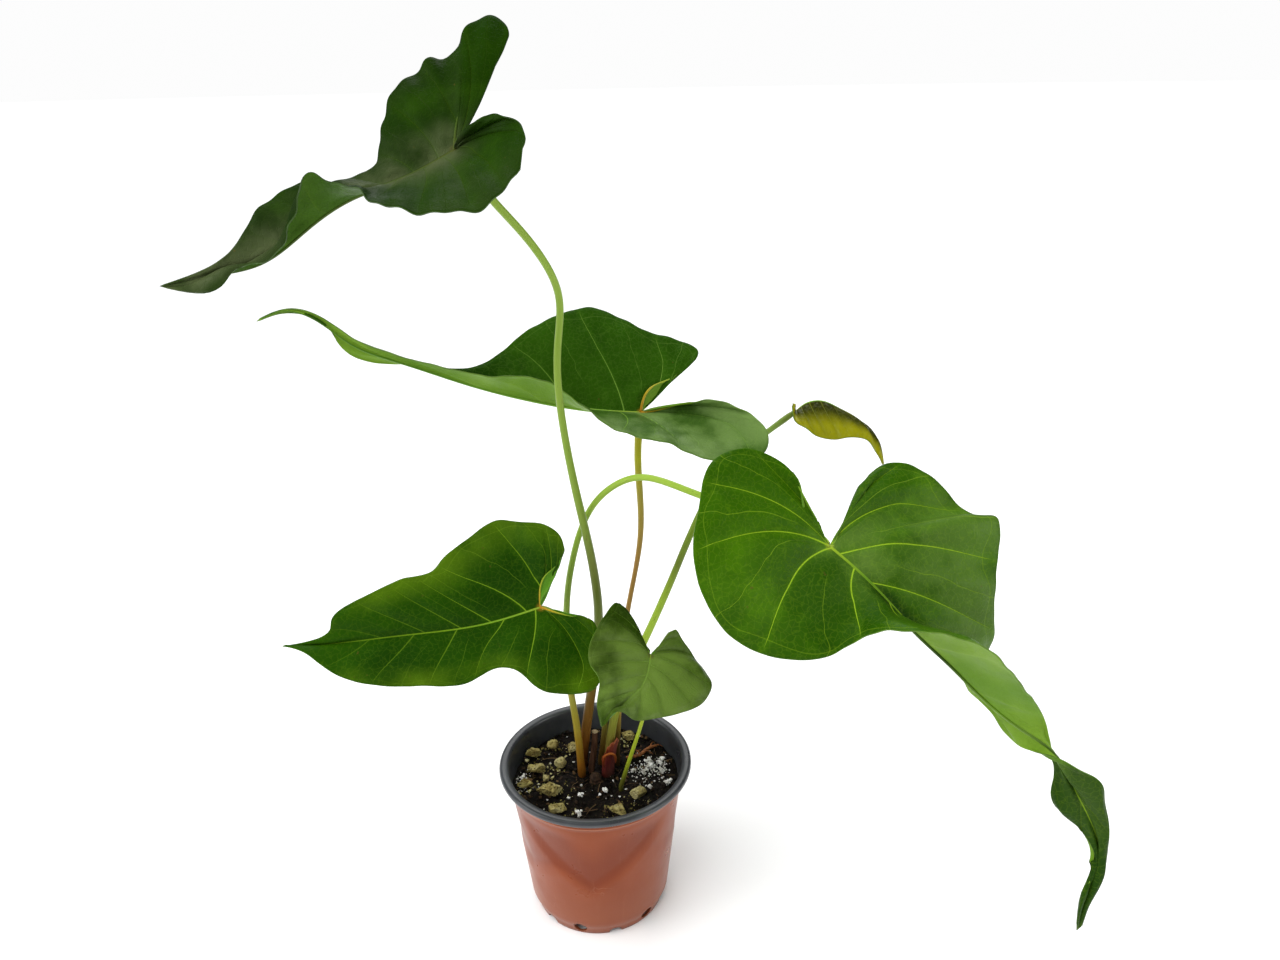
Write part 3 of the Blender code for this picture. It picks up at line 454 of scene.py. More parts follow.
def stalk_paint(name, stops, streak=0.5, rough=0.33):
    """Colour along the stalk, with fine lengthwise streaks and a few lenticels."""
    p = Paint(name)
    skin = p.attribute("skin", "Vector")
    along = p.attribute("along")
    shifted = p.plus(along, p.times(p.minus(p.noise(45.0, 3.0), 0.5), 0.07))
    colour = p.ramp(shifted, stops)
    lines = p.noise(1.0, 4.0, 0.6, vector=p.scaled(1900.0, 1900.0, 45.0, skin))
    colour = p.mix(p.fade(lines, 0.35, 0.75, 0.0, streak), colour, (0.86, 0.92, 0.62), "MULTIPLY")
    fleck = p.fade(p.noise(1.0, 1.0, 0.5, vector=p.scaled(1500.0, 1500.0, 260.0, skin)), 0.70, 0.76, 0.0, 0.6)
    colour = p.mix(fleck, colour, (0.09, 0.06, 0.015))
    relief = p.minus(lines, p.times(fleck, 0.6))
    gloss = p.fade(p.noise(120.0, 3.0), 0.3, 0.7, rough - 0.05, rough + 0.14)
    return p.finish(Base_Color=colour, Roughness=gloss, Normal=p.bump(relief, 0.18, 0.7),
                    Specular_IOR_Level=0.4, Specular_Tint=(0.9, 1.0, 0.5))


def pot_outside():
    p = Paint("pot_terracotta_plastic")
    colour = p.mix(p.fade(p.noise(16.0, 3.0), 0.3, 0.75), (0.25, 0.052, 0.014), (0.19, 0.032, 0.006))
    height = p.node("ShaderNodeSeparateXYZ", {"Vector": p.where()}).outputs["Z"]
    colour = p.mix(p.fade(height, 0.0, 0.06, 0.7, 0.0), colour, (0.28, 0.085, 0.040))
    # Painted highlight: a thin lighter line along the ledge, where the step catches the light.
    ledge = p.math("ABSOLUTE", p.minus(height, (POT_HEIGHT - LEDGE_DROP + 0.4) * MM))
    colour = p.mix(p.fade(ledge, 0.0003, 0.0011, 0.6, 0.0), colour, (0.48, 0.20, 0.12))
    # Painted shade and dark reflection: the colour goes darker and redder where the wall is pushed in.
    colour = p.mix(p.fade(p.attribute("pushed"), 0.05, 0.8, 0.0, 0.8), colour, (0.17, 0.026, 0.005))
    drag = p.noise(1.0, 4.0, 0.6, vector=p.scaled(420.0, 420.0, 18.0))
    colour = p.mix(p.fade(drag, 0.55, 0.85, 0.0, 0.2), colour, (0.36, 0.12, 0.06))
    scuff = p.fade(p.cells(95.0, vector=p.wobbled(80.0, 0.02)), 0.0, 0.03, 0.3, 0.0)
    scuff = p.times(scuff, p.fade(p.noise(40.0, 2.0), 0.6, 0.74))
    colour = p.mix(scuff, colour, (0.50, 0.27, 0.18))
    relief = p.plus(p.noise(170.0, 3.0), p.times(drag, 0.4))
    rough = p.plus(p.fade(p.noise(55.0, 4.0), 0.3, 0.75, 0.27, 0.4),
                   p.times(scuff, 0.5))
    return p.finish(Base_Color=colour, Roughness=rough, Normal=p.bump(relief, 0.12, 0.6),
                    Specular_IOR_Level=0.25, Specular_Tint=(1.0, 0.85, 0.75), Coat_Weight=0.04,
                    Coat_Roughness=0.15)


def pot_inside():
    p = Paint("pot_charcoal_plastic")
    colour = p.mix(p.fade(p.noise(30.0, 4.0), 0.35, 0.75), (0.032, 0.034, 0.038), (0.062, 0.066, 0.072))
    dust = p.fade(p.noise(240.0, 5.0, 0.7), 0.6, 0.8, 0.0, 0.3)
    colour = p.mix(dust, colour, (0.13, 0.11, 0.095))
    rough = p.plus(p.fade(p.noise(60.0, 4.0), 0.3, 0.75, 0.26, 0.4), p.times(dust, 0.6))
    return p.finish(Base_Color=colour, Roughness=rough, Normal=p.bump(p.noise(210.0, 4.0), 0.12, 0.5),
                    Coat_Weight=0.15, Coat_Roughness=0.2)


def soil_paint():
    p = Paint("potting_mix")
    colour = p.mix(p.fade(p.noise(160.0, 6.0, 0.7), 0.4, 0.75), (0.003, 0.002, 0.0015), (0.014, 0.009, 0.006))
    bits = p.fade(p.cells(600.0, "F1", p.wobbled(400.0, 0.002)), 0.12, 0.2, 0.5, 0.0)
    colour = p.mix(bits, colour, (0.03, 0.017, 0.008))
    relief = p.plus(p.noise(420.0, 6.0, 0.75), p.times(bits, 0.7))
    return p.finish(Base_Color=colour, Roughness=p.fade(p.noise(300.0), 0.3, 0.7, 0.75, 0.98),
                    Normal=p.bump(relief, 1.0, 0.9), Specular_IOR_Level=0.25)


def crumb_paint(name, stops, rough=0.85, relief_scale=900.0):
    """Each crumb has its own tone between the stops."""
    p = Paint(name)
    tone = p.plus(p.attribute("tone"), p.times(p.minus(p.noise(700.0, 4.0, 0.7), 0.5), 0.25))
    return p.finish(Base_Color=p.ramp(tone, stops),
                    Roughness=p.fade(p.noise(500.0), 0.3, 0.7, rough - 0.1, rough + 0.1),
                    Normal=p.bump(p.noise(relief_scale, 4.0, 0.7), 0.4, 0.8), Specular_IOR_Level=0.3)


def chunk_paint():
    p = Paint("porous_chunk")
    deep = p.attribute("depth")
    colour = p.mix(p.fade(p.noise(240.0, 5.0, 0.65), 0.32, 0.7), (0.13, 0.095, 0.025), (0.38, 0.32, 0.115))
    colour = p.mix(p.fade(p.noise(90.0, 3.0), 0.5, 0.72, 0.0, 0.7), colour, (0.52, 0.47, 0.24))
    pores = p.fade(p.cells(780.0, "F1", p.wobbled(500.0, 0.001)), 0.1, 0.32, 0.8, 0.0)
    # Painted shade in the pores: their dots are darkened.
    colour = p.mix(p.times(pores, 0.75), colour, (0.06, 0.045, 0.014))
    # Painted shade deep in the pits, read from the depth attribute.
    colour = p.mix(p.fade(deep, 0.15, 0.9, 0.0, 0.92), colour, (0.03, 0.02, 0.008))
    relief = p.minus(p.noise(900.0, 5.0, 0.7), pores)
    return p.finish(Base_Color=colour, Roughness=p.fade(p.noise(300.0), 0.3, 0.7, 0.82, 0.98),
                    Normal=p.bump(relief, 0.5, 0.9), Specular_IOR_Level=0.2)


def bark_paint(name, deep, light, scale=260.0, rough=0.8, squeeze=0.35):
    p = Paint(name)
    lines = p.noise(scale, 6.0, 0.65, vector=p.scaled(1.0, 1.0, squeeze))
    colour = p.mix(p.fade(lines, 0.35, 0.7), deep, light)
    colour = p.mix(p.fade(p.noise(90.0, 3.0), 0.5, 0.75, 0.0, 0.5), colour, tuple(0.5 * c for c in deep))
    return p.finish(Base_Color=colour, Roughness=p.fade(p.noise(scale), 0.3, 0.7, rough - 0.12, rough + 0.1),
                    Normal=p.bump(lines, 0.4, 0.9), Specular_IOR_Level=0.3)


def scale_paint():
    """The dry scale: dark red, paler and more orange towards its rim, with lengthwise nerves."""
    p = Paint("dry_scale")
    up = p.attribute("along")
    nerves = p.noise(1.0, 4.0, 0.6, vector=p.scaled(900.0, 900.0, 60.0))
    shade = p.plus(up, p.times(p.minus(nerves, 0.5), 0.35))
    colour = p.ramp(shade,
                    [(0.0, (0.02, 0.02, 0.008)), (0.22, (0.05, 0.012, 0.008)), (0.6, (0.12, 0.014, 0.010)),
                            (0.9, (0.20, 0.03, 0.014)), (1.0, (0.34, 0.08, 0.02))])
    return p.finish(Base_Color=colour, Roughness=p.fade(p.noise(130.0), 0.3, 0.7, 0.42, 0.62),
                    Normal=p.bump(nerves, 0.25, 0.8), Coat_Weight=0.1)


def floor_paint():
    p = Paint("studio_floor")
    colour = p.mix(p.fade(p.noise(3.0, 3.0), 0.3, 0.7), (0.93, 0.93, 0.93), (0.95, 0.95, 0.95))
    return p.finish(Base_Color=colour, Roughness=p.fade(p.noise(40.0), 0.3, 0.7, 0.7, 0.85),
                    Specular_IOR_Level=0.0)


# ---------------------------------------------------------------- shapes

def piece(name, verts, faces, materials, node_names, slot, smooth=True, indices=None, **attributes):
    """Makes a shown piece in millimetres, rides it on the root, and puts it in place of its CAD nodes."""
    data = bpy.data.meshes.new(name)
    data.from_pydata([tuple(v) for v in np.asarray(verts, float) * MM], [],
                     [tuple(map(int, f)) for f in faces])
    for made in materials:
        data.materials.append(made)
    data.polygons.foreach_set("use_smooth", [smooth] * len(data.polygons))
    if indices is not None:
        data.polygons.foreach_set("material_index", indices)
    for key, (kind, domain, values) in attributes.items():
        layer = data.attributes.new(key, kind, domain)
        layer.data.foreach_set("vector" if kind == "FLOAT_VECTOR" else "value",
                               np.asarray(values, np.float32).ravel())
    data.update()
    obj = bpy.data.objects.new(name, data)
    bpy.context.scene.collection.objects.link(obj)
    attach(obj, "root")
    if node_names:
        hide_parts(*node_names)
    return obj


def above_soil(points):
    out = np.array(points, float)
    out[:, -1] += SOIL_LEVEL
    return out


def arc_lengths(points):
    steps = np.linalg.norm(np.diff(points[:, -3:], axis=0), axis=1)
    return np.concatenate([[0.0], np.cumsum(steps)])


def knots(points):
    steps = np.linalg.norm(np.diff(points[:, -3:], axis=0), axis=1) ** 0.7
    run = np.concatenate([[0.0], np.cumsum(steps)])
    return run / run[-1]


def spline_at(points, where):
    """A natural cubic spline through the points, at fractions of its length."""
    points = np.asarray(points, float)
    at = knots(points)
    gaps = np.diff(at)
    count = len(points)
    system = np.eye(count)
    bend = np.zeros(points.shape)
    for i in range(1, count - 1):
        system[i, i - 1:i + 2] = gaps[i - 1], 2 * (gaps[i - 1] + gaps[i]), gaps[i]
        slope_after = (points[i + 1] - points[i]) / gaps[i]
        slope_before = (points[i] - points[i - 1]) / gaps[i - 1]
        bend[i] = 6 * (slope_after - slope_before)
    second = np.linalg.solve(system, bend)
    where = np.clip(where, 0.0, 1.0)
    i = np.clip(np.searchsorted(at, where, side="right") - 1, 0, count - 2)
    a = (where - at[i])[:, None]
    b = (at[i + 1] - where)[:, None]
    gap = gaps[i][:, None]
    cubic = (second[i] * b**3 + second[i + 1] * a**3) / (6 * gap)
    start = (points[i] / gap - second[i] * gap / 6) * b
    end = (points[i + 1] / gap - second[i + 1] * gap / 6) * a
    return cubic + start + end


def spline(points, count):
    """Points spread evenly along a smooth curve through the given ones."""
    dense = spline_at(points, np.linspace(0.0, 1.0, 12 * len(points)))
    run = arc_lengths(dense)
    at = np.linspace(0.0, run[-1], count)
    return np.column_stack([np.interp(at, run, dense[:, k]) for k in range(dense.shape[1])])


def smooth_step(value, start, end):
    share = np.clip((value - start) / (end - start), 0.0, 1.0)
    return share * share * (3 - 2 * share)


def grain(x, y, z, scale, seed=0.0):
    return noise.noise(Vector((x * scale + seed, y * scale - seed, z * scale + 0.5 * seed)))


def ring_faces(rings, sides):
    """The faces between rings of points, one ring after another."""
    faces = []
    for low in range(0, (rings - 1) * sides, sides):
        for k in range(sides):
            j = (k + 1) % sides
            faces.append((low + k, low + j, low + sides + j, low + sides + k))
    return faces


def sweep(points, radii, sides, dent=None):
    """A closed round tube along the points. dent(share along, turn) gives a radius factor."""
    points = np.asarray(points, float)
    count = len(points)
    tangents = np.gradient(points, axis=0)
    tangents /= np.linalg.norm(tangents, axis=1, keepdims=True)
    across = np.cross(tangents[0], (0.0, 1.0, 0.3))
    across /= np.linalg.norm(across)
    run = arc_lengths(points)
    verts, along, skin = [], [], []
    for i in range(count):
        across = across - tangents[i] * (across @ tangents[i])
        across /= np.linalg.norm(across)
        other = np.cross(tangents[i], across)
        for k in range(sides):
            turn = 2 * math.pi * k / sides
            radius = radii[i] * (dent(i / (count - 1), turn) if dent else 1.0)
            verts.append(points[i] + radius * (math.cos(turn) * across + math.sin(turn) * other))
            along.append(run[i] / run[-1])
            skin.append((math.cos(turn) * radii[i] * MM, math.sin(turn) * radii[i] * MM, run[i] * MM))
    faces = ring_faces(count, sides)
    for ring, turned in ((0, True), (count - 1, False)):
        centre = len(verts)
        step = tangents[ring] * radii[ring] * (-0.35 if turned else 0.35)
        verts.append(points[ring] + step)
        along.append(along[ring * sides])
        skin.append((0.0, 0.0, run[ring] * MM))
        for k in range(sides):
            a, b = ring * sides + k, ring * sides + (k + 1) % sides
            faces.append((b, a, centre) if turned else (a, b, centre))
    return np.array(verts), faces, along, skin


def joined(parts):
    """Several (verts, faces, value per vertex) bodies as one."""
    verts, faces, values, start = [], [], [], 0
    for body, sides, value in parts:
        verts.append(body)
        faces.extend(tuple(v + start for v in side) for side in sides)
        values.extend(value)
        start += len(body)
    return np.vstack(verts), faces, values


def tube(name, body, paint, node_names, slot):
    """A swept piece. Its paint reads how far along the tube and where round it each vertex is."""
    verts, faces, along, skin = body
    piece(name, verts, faces, [paint], node_names, slot,
          along=("FLOAT", "POINT", along), skin=("FLOAT_VECTOR", "POINT", skin))


def heap(name, parts, paint, node_names, slot):
    """Many small bodies as one flat-shaded piece, each with its own tone."""
    verts, faces, tone = joined(parts)
    piece(name, verts, faces, [paint], node_names, slot, smooth=False, tone=("FLOAT", "POINT", tone))


def ball(detail):
    bm = bmesh.new()
    bmesh.ops.create_icosphere(bm, subdivisions=detail, radius=1.0)
    verts = np.array([v.co for v in bm.verts])
    faces = [tuple(v.index for v in f.verts) for f in bm.faces]
    bm.free()
    return verts, faces


# ---------------------------------------------------------------- blades

def vein_places(closed, grid, rows, notch):
    """As in the part's source, but rows may be fractions. Rows below 0 are on the notch's edge."""
    lobe_rows, blade_rows = grid
    at = knots(closed)
    last_lobe = int(np.flatnonzero(closed[:, 0] <= 0.0)[-1])
    starts = np.clip((rows - lobe_rows) / blade_rows, 0.0, 1.0) ** 1.5
    lobe = at[notch] + (at[last_lobe] - at[notch]) * np.clip(rows / lobe_rows, 0.0, 1.0)
    lobe = np.where(rows < 0, at[notch] * (1 + rows / NOTCH_ROWS), lobe)
    blade = np.interp(starts, closed[last_lobe:, 0], at[last_lobe:])
    return np.where(rows <= lobe_rows, lobe, blade), starts


def half_blade(midrib, notch, margin, side, leaf, rows, t):
    closed = np.vstack([*[[0.0, *point] for point in notch], margin, [1.0, *midrib[-1]]])
    places, start = vein_places(closed, leaf["grid"], rows, len(notch))
    edge = spline_at(closed, places)[:, 1:]
    line = spline(midrib, 120)
    share = np.linspace(0.0, 1.0, 120)

    def on_midrib(at):
        return np.column_stack([np.interp(at, share, line[:, k]) for k in range(3)])

    root = on_midrib(start)
    along = on_midrib(np.clip(start + 0.01, 0, 1)) - on_midrib(np.clip(start - 0.01, 0, 1))
    along /= np.linalg.norm(along, axis=1, keepdims=True)
    reach = edge - root
    length = np.linalg.norm(reach, axis=1, keepdims=True)
    normal = -side * np.cross(along, reach)
    size = np.linalg.norm(normal, axis=1, keepdims=True)
    normal = np.where(size > 1e-6, normal / np.maximum(size, 1e-6), 0.0)
    bow = (0.16 * smooth_step(rows, -2.5, 3.0) - 0.06)[:, None]
    bend = root + 0.5 * reach - bow * length * along + leaf["bulge"] * length * normal
    t = t[None, :, None]
    grid = (1 - t) ** 2 * root[:, None] + 2 * t * (1 - t) * bend[:, None] + t**2 * edge[:, None]
    return grid, start, length[:, 0]


def vein_phase(leaf, key, rows, t):
    """Counts up by one from each main vein to the next. A vein starts nearer the joint than it ends."""
    veins = leaf["veins"][key]
    last = sum(leaf["grid"])
    at = [-NOTCH_ROWS - 1.0, *veins, last + 2.0]
    phase = np.interp(rows, at, np.arange(len(at), dtype=float))
    return phase[:, None] + 0.85 * (1 - t[None, :]) ** 1.6


def blade_relief(leaf, run, t, phase, gap, length, side, seed):
    """Lift of the upper face in millimetres: veins sunk, the blade raised between them, margin waved."""
    near = np.abs((phase + 0.5) % 1.0 - 0.5) * gap
    window = smooth_step(t, 0.02, 0.2)[None, :] * (1 - smooth_step(t, 0.84, 1.0))[None, :]
    sunk = -VEIN_DEPTH * np.exp(-(near / VEIN_WIDTH) ** 2) * window * np.clip(length[:, None] / 25.0, 0, 1)
    raised = leaf["ripple"] * 0.9 * np.abs(np.sin(np.pi * phase)) ** 1.2 * np.clip(gap / 16.0, 0, 1) * window
    wave = np.sin(run / 3.9 + seed) + 0.7 * np.sin(run / 2.1 + 2.0 * seed + 1.3 * side)
    wave = wave[:, None] * np.clip(length[:, None] / 30.0, 0, 1)
    margin = leaf["wave"] * wave * t[None, :] ** 4
    return sunk + raised + margin


def make_blade(name, leaf, upper, under, rim, slot, seed):
    midrib = above_soil(leaf["midrib"])
    lobe_rows, blade_rows = leaf["grid"]
    total = NOTCH_ROWS + lobe_rows + blade_rows
    rows = np.linspace(-NOTCH_ROWS, lobe_rows + blade_rows, total * ROWS_BETWEEN + 1)
    first = (NOTCH_ROWS + lobe_rows) * ROWS_BETWEEN
    t = np.linspace(0.0, 1.0, ACROSS + 1)
    verts, faces, spine = [], [], {}
    looks = {key: [] for key in ("vein_phase", "vein_gap", "vein_strength", "reach", "stem", "from_rib",
                                 "from_rim", "from_collector", "from_joint", "painted_sheen")}
    lifts = []
    for side, key in ((1, "right"), (-1, "left")):
        notch = above_soil(leaf["notch"][key]) if leaf["notch"][key] else []
        grid, start, length = half_blade(midrib, notch, above_soil(leaf[key]), side, leaf, rows, t)
        phase = vein_phase(leaf, key, rows, t)
        along = np.gradient(grid, axis=0)
        out = np.gradient(grid, axis=1)
        step = np.linalg.norm(along, axis=2)
        gap = step / np.maximum(np.gradient(phase, axis=0), 1e-3)
        normal = -side * np.cross(along, out)
        size = np.linalg.norm(normal, axis=2, keepdims=True)
        normal = np.where(size > 1e-9, normal / np.maximum(size, 1e-9), 0.0)
        lift = blade_relief(leaf, arc_lengths(grid[:, -1]), t, phase, gap, length, side, seed)
        lift[:, 0] = 0.0
        grid = grid + normal * lift[:, :, None]
        # Painted sheen: how much grey sheen is painted into this half's colour, more along the midrib, as a
        # stand-in for its reflection.
        in_lobe, beyond = leaf["painted_sheen"][key]
        painted_sheen = in_lobe + (beyond - in_lobe) * smooth_step(rows, lobe_rows - 1.0, lobe_rows + 1.5)
        bold = np.clip((length - 6.0) / 24.0, 0, 1) * (1 - 0.6 * smooth_step(start, 0.05, 0.5))
        half = dict(
            vein_phase=phase, vein_gap=gap, reach=np.broadcast_to(t, phase.shape),
            vein_strength=np.broadcast_to(bold[:, None], phase.shape),
            stem=np.broadcast_to(start[:, None], phase.shape),
            from_joint=np.linalg.norm(grid - midrib[0], axis=2),
            painted_sheen=painted_sheen[:, None] + leaf["painted_sheen"]["rib"] * np.exp(-(t[None, :] * length[:, None] / 13.0) ** 2),
            from_rib=t[None, :] * length[:, None],
            from_rim=(1 - t)[None, :] * length[:, None],
            from_collector=(t[None, :] - 0.92 + 0.03 * np.cos(2 * np.pi * phase)) * length[:, None])
        index = np.zeros((len(rows), ACROSS + 1), int)
        for r in range(len(rows)):
            stem = max(0, r - first)
            if stem not in spine:
                spine[stem] = len(verts)
                verts.append(grid[r, 0])
            index[r, 0] = spine[stem]
            if r == len(rows) - 1:
                index[r, :] = spine[stem]
            else:
                for c in range(1, ACROSS + 1):
                    index[r, c] = len(verts)
                    verts.append(grid[r, c])
        for r in range(len(rows) - 1):
            for c in range(ACROSS):
                cells = [(r, c), (r, c + 1), (r + 1, c + 1), (r + 1, c)]
                kept, seen = [], set()
                for cell in cells:
                    if index[cell] not in seen:
                        seen.add(index[cell])
                        kept.append(cell)
                if len(kept) < 3:
                    continue
                if side < 0:
                    kept.reverse()
                faces.append([index[cell] for cell in kept])
                for look, values in looks.items():
                    values.extend(half[look][cell] for cell in kept)
        lifts.append((grid, normal))
    obj = piece(f"leaf_{name}", verts, faces, [upper, under, rim], [f"blade_{name}"], slot,
                **{look: ("FLOAT", "CORNER", values) for look, values in looks.items()})
    skin = obj.modifiers.new("thickness", "SOLIDIFY")
    skin.thickness = BLADE_THICKNESS * MM
    skin.offset = 0.0
    skin.use_rim = True
    skin.material_offset = 1
    skin.material_offset_rim = 2
    return lifts


def make_rib(name, leaf, halves, paint, slot, thick):
    """The midrib: a tapering rib that stands proud of the underside and a little of the upper face."""
    first = (NOTCH_ROWS + leaf["grid"][0]) * ROWS_BETWEEN
    (right, normal_r), (_, normal_l) = halves
    points = right[first:, 0]
    down = -(normal_r[first:, 2] + normal_l[first:, 2])
    down /= np.maximum(np.linalg.norm(down, axis=1, keepdims=True), 1e-9)
    share = np.linspace(0.0, 1.0, len(points))
    radii = thick * (1 - share) ** 0.8 + 0.22
    points = points + down * (0.55 * radii)[:, None]
    run = arc_lengths(points)
    even = np.linspace(0.0, run[-1] * 0.985, 90)
    line = np.column_stack([np.interp(even, run, points[:, k]) for k in range(3)])
    tube(f"midrib_{name}", sweep(line, np.interp(even, run, radii), 12), paint, [], slot)


def make_notch_ribs(name, leaf, paint, slot, thick):
    """The naked ribs that edge the notch on each side of the joint, as one piece."""
    parts, skins = [], []
    for key in ("right", "left"):
        if not leaf["notch"][key]:
            continue
        points = above_soil([leaf["midrib"][0], *leaf["notch"][key], leaf[key][0][1:]])
        line = spline(points, 60)[:46]
        share = np.linspace(0.0, 1.0, len(line))
        verts, faces, along, skin = sweep(line, thick * (1 - 0.75 * share), 12)
        parts.append((verts, faces, along))
        skins.extend(skin)
    tube(f"notch_rib_{name}", (*joined(parts), skins), paint, [], slot)


def make_leaves():
    green_vein = (0.20, 0.36, 0.05)
    under = dict(
        dark=leaf_under("leaf_under_dark", (0.020, 0.062, 0.001), (0.040, 0.11, 0.002), (0.08, 0.16, 0.01),
                        0.8),
        plain=leaf_under("leaf_under_plain", (0.05, 0.16, 0.006), (0.09, 0.24, 0.014), (0.17, 0.33, 0.04),
                         0.8),
        bright=leaf_under("leaf_under_bright", (0.09, 0.20, 0.010), (0.16, 0.29, 0.022), (0.24, 0.38, 0.05),
                          0.8),
        young=leaf_under("leaf_under_young", (0.14, 0.14, 0.003), (0.30, 0.30, 0.006), (0.42, 0.42, 0.04),
                         0.7))
    orange, olive = (0.38, 0.20, 0.02), (0.08, 0.07, 0.015)
    upper = dict(
        top=leaf_upper(
            "leaf_upper_top",
            deep=(0.004, 0.017, 0.0003), mid=(0.009, 0.034, 0.0004), light=(0.022, 0.066, 0.0012),
            vein=(0.05, 0.1, 0.006), width=0.6, gloss=0.42, vein_show=0.35, painted_sheen=(0.075, 0.095, 0.035),
            joint=olive),
        middle=leaf_upper(
            "leaf_upper_middle",
            deep=(0.008, 0.036, 0.0008), mid=(0.02, 0.07, 0.0015), light=(0.04, 0.12, 0.005),
            vein=green_vein, width=0.65, gloss=0.38, vein_show=0.75, painted_sheen=(0.15, 0.25, 0.06),
            joint=orange),
        side=leaf_upper(
            "leaf_upper_side",
            deep=(0.013, 0.055, 0.0004), mid=(0.028, 0.092, 0.0006), light=(0.07, 0.185, 0.0015),
            vein=(0.3, 0.48, 0.02), width=0.8, gloss=0.3, vein_show=0.9, painted_sheen=(0.15, 0.26, 0.04),
            joint=(0.28, 0.3, 0.02), painted_fold_shade=0.8, dull=0.08),
        low=leaf_upper(
            "leaf_upper_low",
            deep=(0.006, 0.032, 0.0004), mid=(0.014, 0.058, 0.0006), light=(0.032, 0.1, 0.0012),
            vein=(0.19, 0.33, 0.015), width=0.7, gloss=0.38, vein_show=0.95, painted_sheen=(0.05, 0.12, 0.02),
            joint=orange, pale_patches=0.3, dull=0.08),
        small=leaf_upper(
            "leaf_upper_small",
            deep=(0.006, 0.018, 0.001), mid=(0.014, 0.036, 0.0015), light=(0.05, 0.1, 0.004),
            vein=(0.15, 0.26, 0.035), width=0.6, gloss=0.34, vein_show=0.55, painted_sheen=(0.11, 0.18, 0.026),
            joint=olive),
        young=leaf_upper(
            "leaf_upper_young",
            deep=(0.01, 0.012, 0.0006), mid=(0.03, 0.034, 0.001), light=(0.09, 0.1, 0.003),
            vein=(0.32, 0.34, 0.04), width=0.5, gloss=0.08, vein_show=0.5, painted_sheen=(0.1, 0.1, 0.03),
            joint=olive, rim_tint=(0.22, 0.215, 0.002), dull=0.4))
    rim = leaf_edge("leaf_edge", (0.10, 0.20, 0.010))
    dark_rim = leaf_edge("leaf_edge_dark", (0.03, 0.075, 0.003))
    rib = stalk_paint("midrib_green", [(0.0, (0.26, 0.34, 0.03)), (0.12, (0.17, 0.34, 0.03)),
                                       (0.5, (0.09, 0.22, 0.015)), (1.0, (0.05, 0.13, 0.008))])
    dark_rib = stalk_paint("midrib_dark", [(0.0, (0.07, 0.09, 0.015)), (0.3, (0.05, 0.09, 0.012)),
                                           (1.0, (0.03, 0.07, 0.006))])
    warm = stalk_paint("notch_rib_warm", [(0.0, (0.45, 0.20, 0.01)), (0.35, (0.42, 0.33, 0.02)),
                                          (0.7, (0.22, 0.34, 0.02)), (1.0, (0.08, 0.2, 0.01))])
    # The side leaf's midrib carries painted shade: darker bands where it runs in the shaded crease and past
    # the fold.
    side_rib_painted_shade = stalk_paint("midrib_side", [(0.0, (0.26, 0.38, 0.02)), (0.1, (0.10, 0.22, 0.01)),
                                           (0.3, (0.02, 0.06, 0.004)), (0.45, (0.12, 0.24, 0.015)),
                                           (0.62, (0.03, 0.07, 0.006)), (1.0, (0.06, 0.10, 0.008))])
    ribs = dict(top=dark_rib, middle=rib, side=side_rib_painted_shade, low=rib, small=rib, young=rib)
    naked = dict(top=dark_rib, middle=warm, side=rib, low=warm, small=rib)
    lower = dict(top="dark", middle="bright", side="bright", low="plain", small="plain", young="young")
    slots = dict(top="leaf_dark", low="leaf_dark", middle="leaf_grey_green", small="leaf_grey_green",
                 side="leaf_bright", young="leaf_young")
    thick = dict(top=1.0, middle=1.1, side=1.2, low=0.9, small=0.6, young=0.6)
    for seed, (name, leaf) in enumerate(BLADES.items()):
        halves = make_blade(name, leaf, upper[name], under[lower[name]],
                            dark_rim if name == "top" else rim, slots[name], 1.7 * seed)
        make_rib(name, leaf, halves, ribs[name], slots[name], thick[name])
        if name in naked:
            make_notch_ribs(name, leaf, naked[name], slots[name], 0.75 * thick[name])


# ---------------------------------------------------------------- stalks, crown, scale, root

def stalk_points(stalk, count):
    x, y = stalk["foot"]
    line = spline(above_soil([(x, y, 3.0), *stalk["path"]]), count)
    foot = line[0].copy()
    foot[2] = SOIL_LEVEL - SOCKET_DEPTH + 0.5
    return np.vstack([foot, line])


def make_stalks():
    slots = dict(top="stalk_brown", middle="stalk_brown")
    for name, stalk in STALKS.items():
        line = stalk_points(stalk, 170)
        run = arc_lengths(line)
        line = line[run < run[-1] - 0.4]
        run = run[:len(line)]
        share = run / run[-1]
        radii = np.interp(share, np.linspace(0, 1, len(stalk["radii"])), stalk["radii"])
        to_end = run[-1] - run
        radii = radii * (1 + 0.16 * np.exp(-((to_end - 7.0) / 6.0) ** 2)
                         - 0.14 * np.exp(-(to_end / 1.6) ** 2))
        radii = radii * (1 + 0.10 * np.exp(-((run - 8.0) / 7.0) ** 2))
        if name == "side":
            radii = radii * (1 + 0.05 * np.exp(-((share - 0.36) / 0.004) ** 2))
        seed = 3.0 * len(name)

        def dent(at, turn, seed=seed):
            groove = 0.07 * math.exp(-((turn - math.pi) / 0.35) ** 2)
            return 1 - groove + 0.018 * math.sin(9 * turn + 5 * at) + 0.025 * grain(6 * at, math.cos(turn),
                                                                                   math.sin(turn), 2.0, seed)

        tube(f"stalk_{name}", sweep(line, radii, 22, dent),
             stalk_paint(f"stalk_{name}_skin", stalk["colours"]), [f"petiole_{name}"],
             slots.get(name, "stalk_green"))


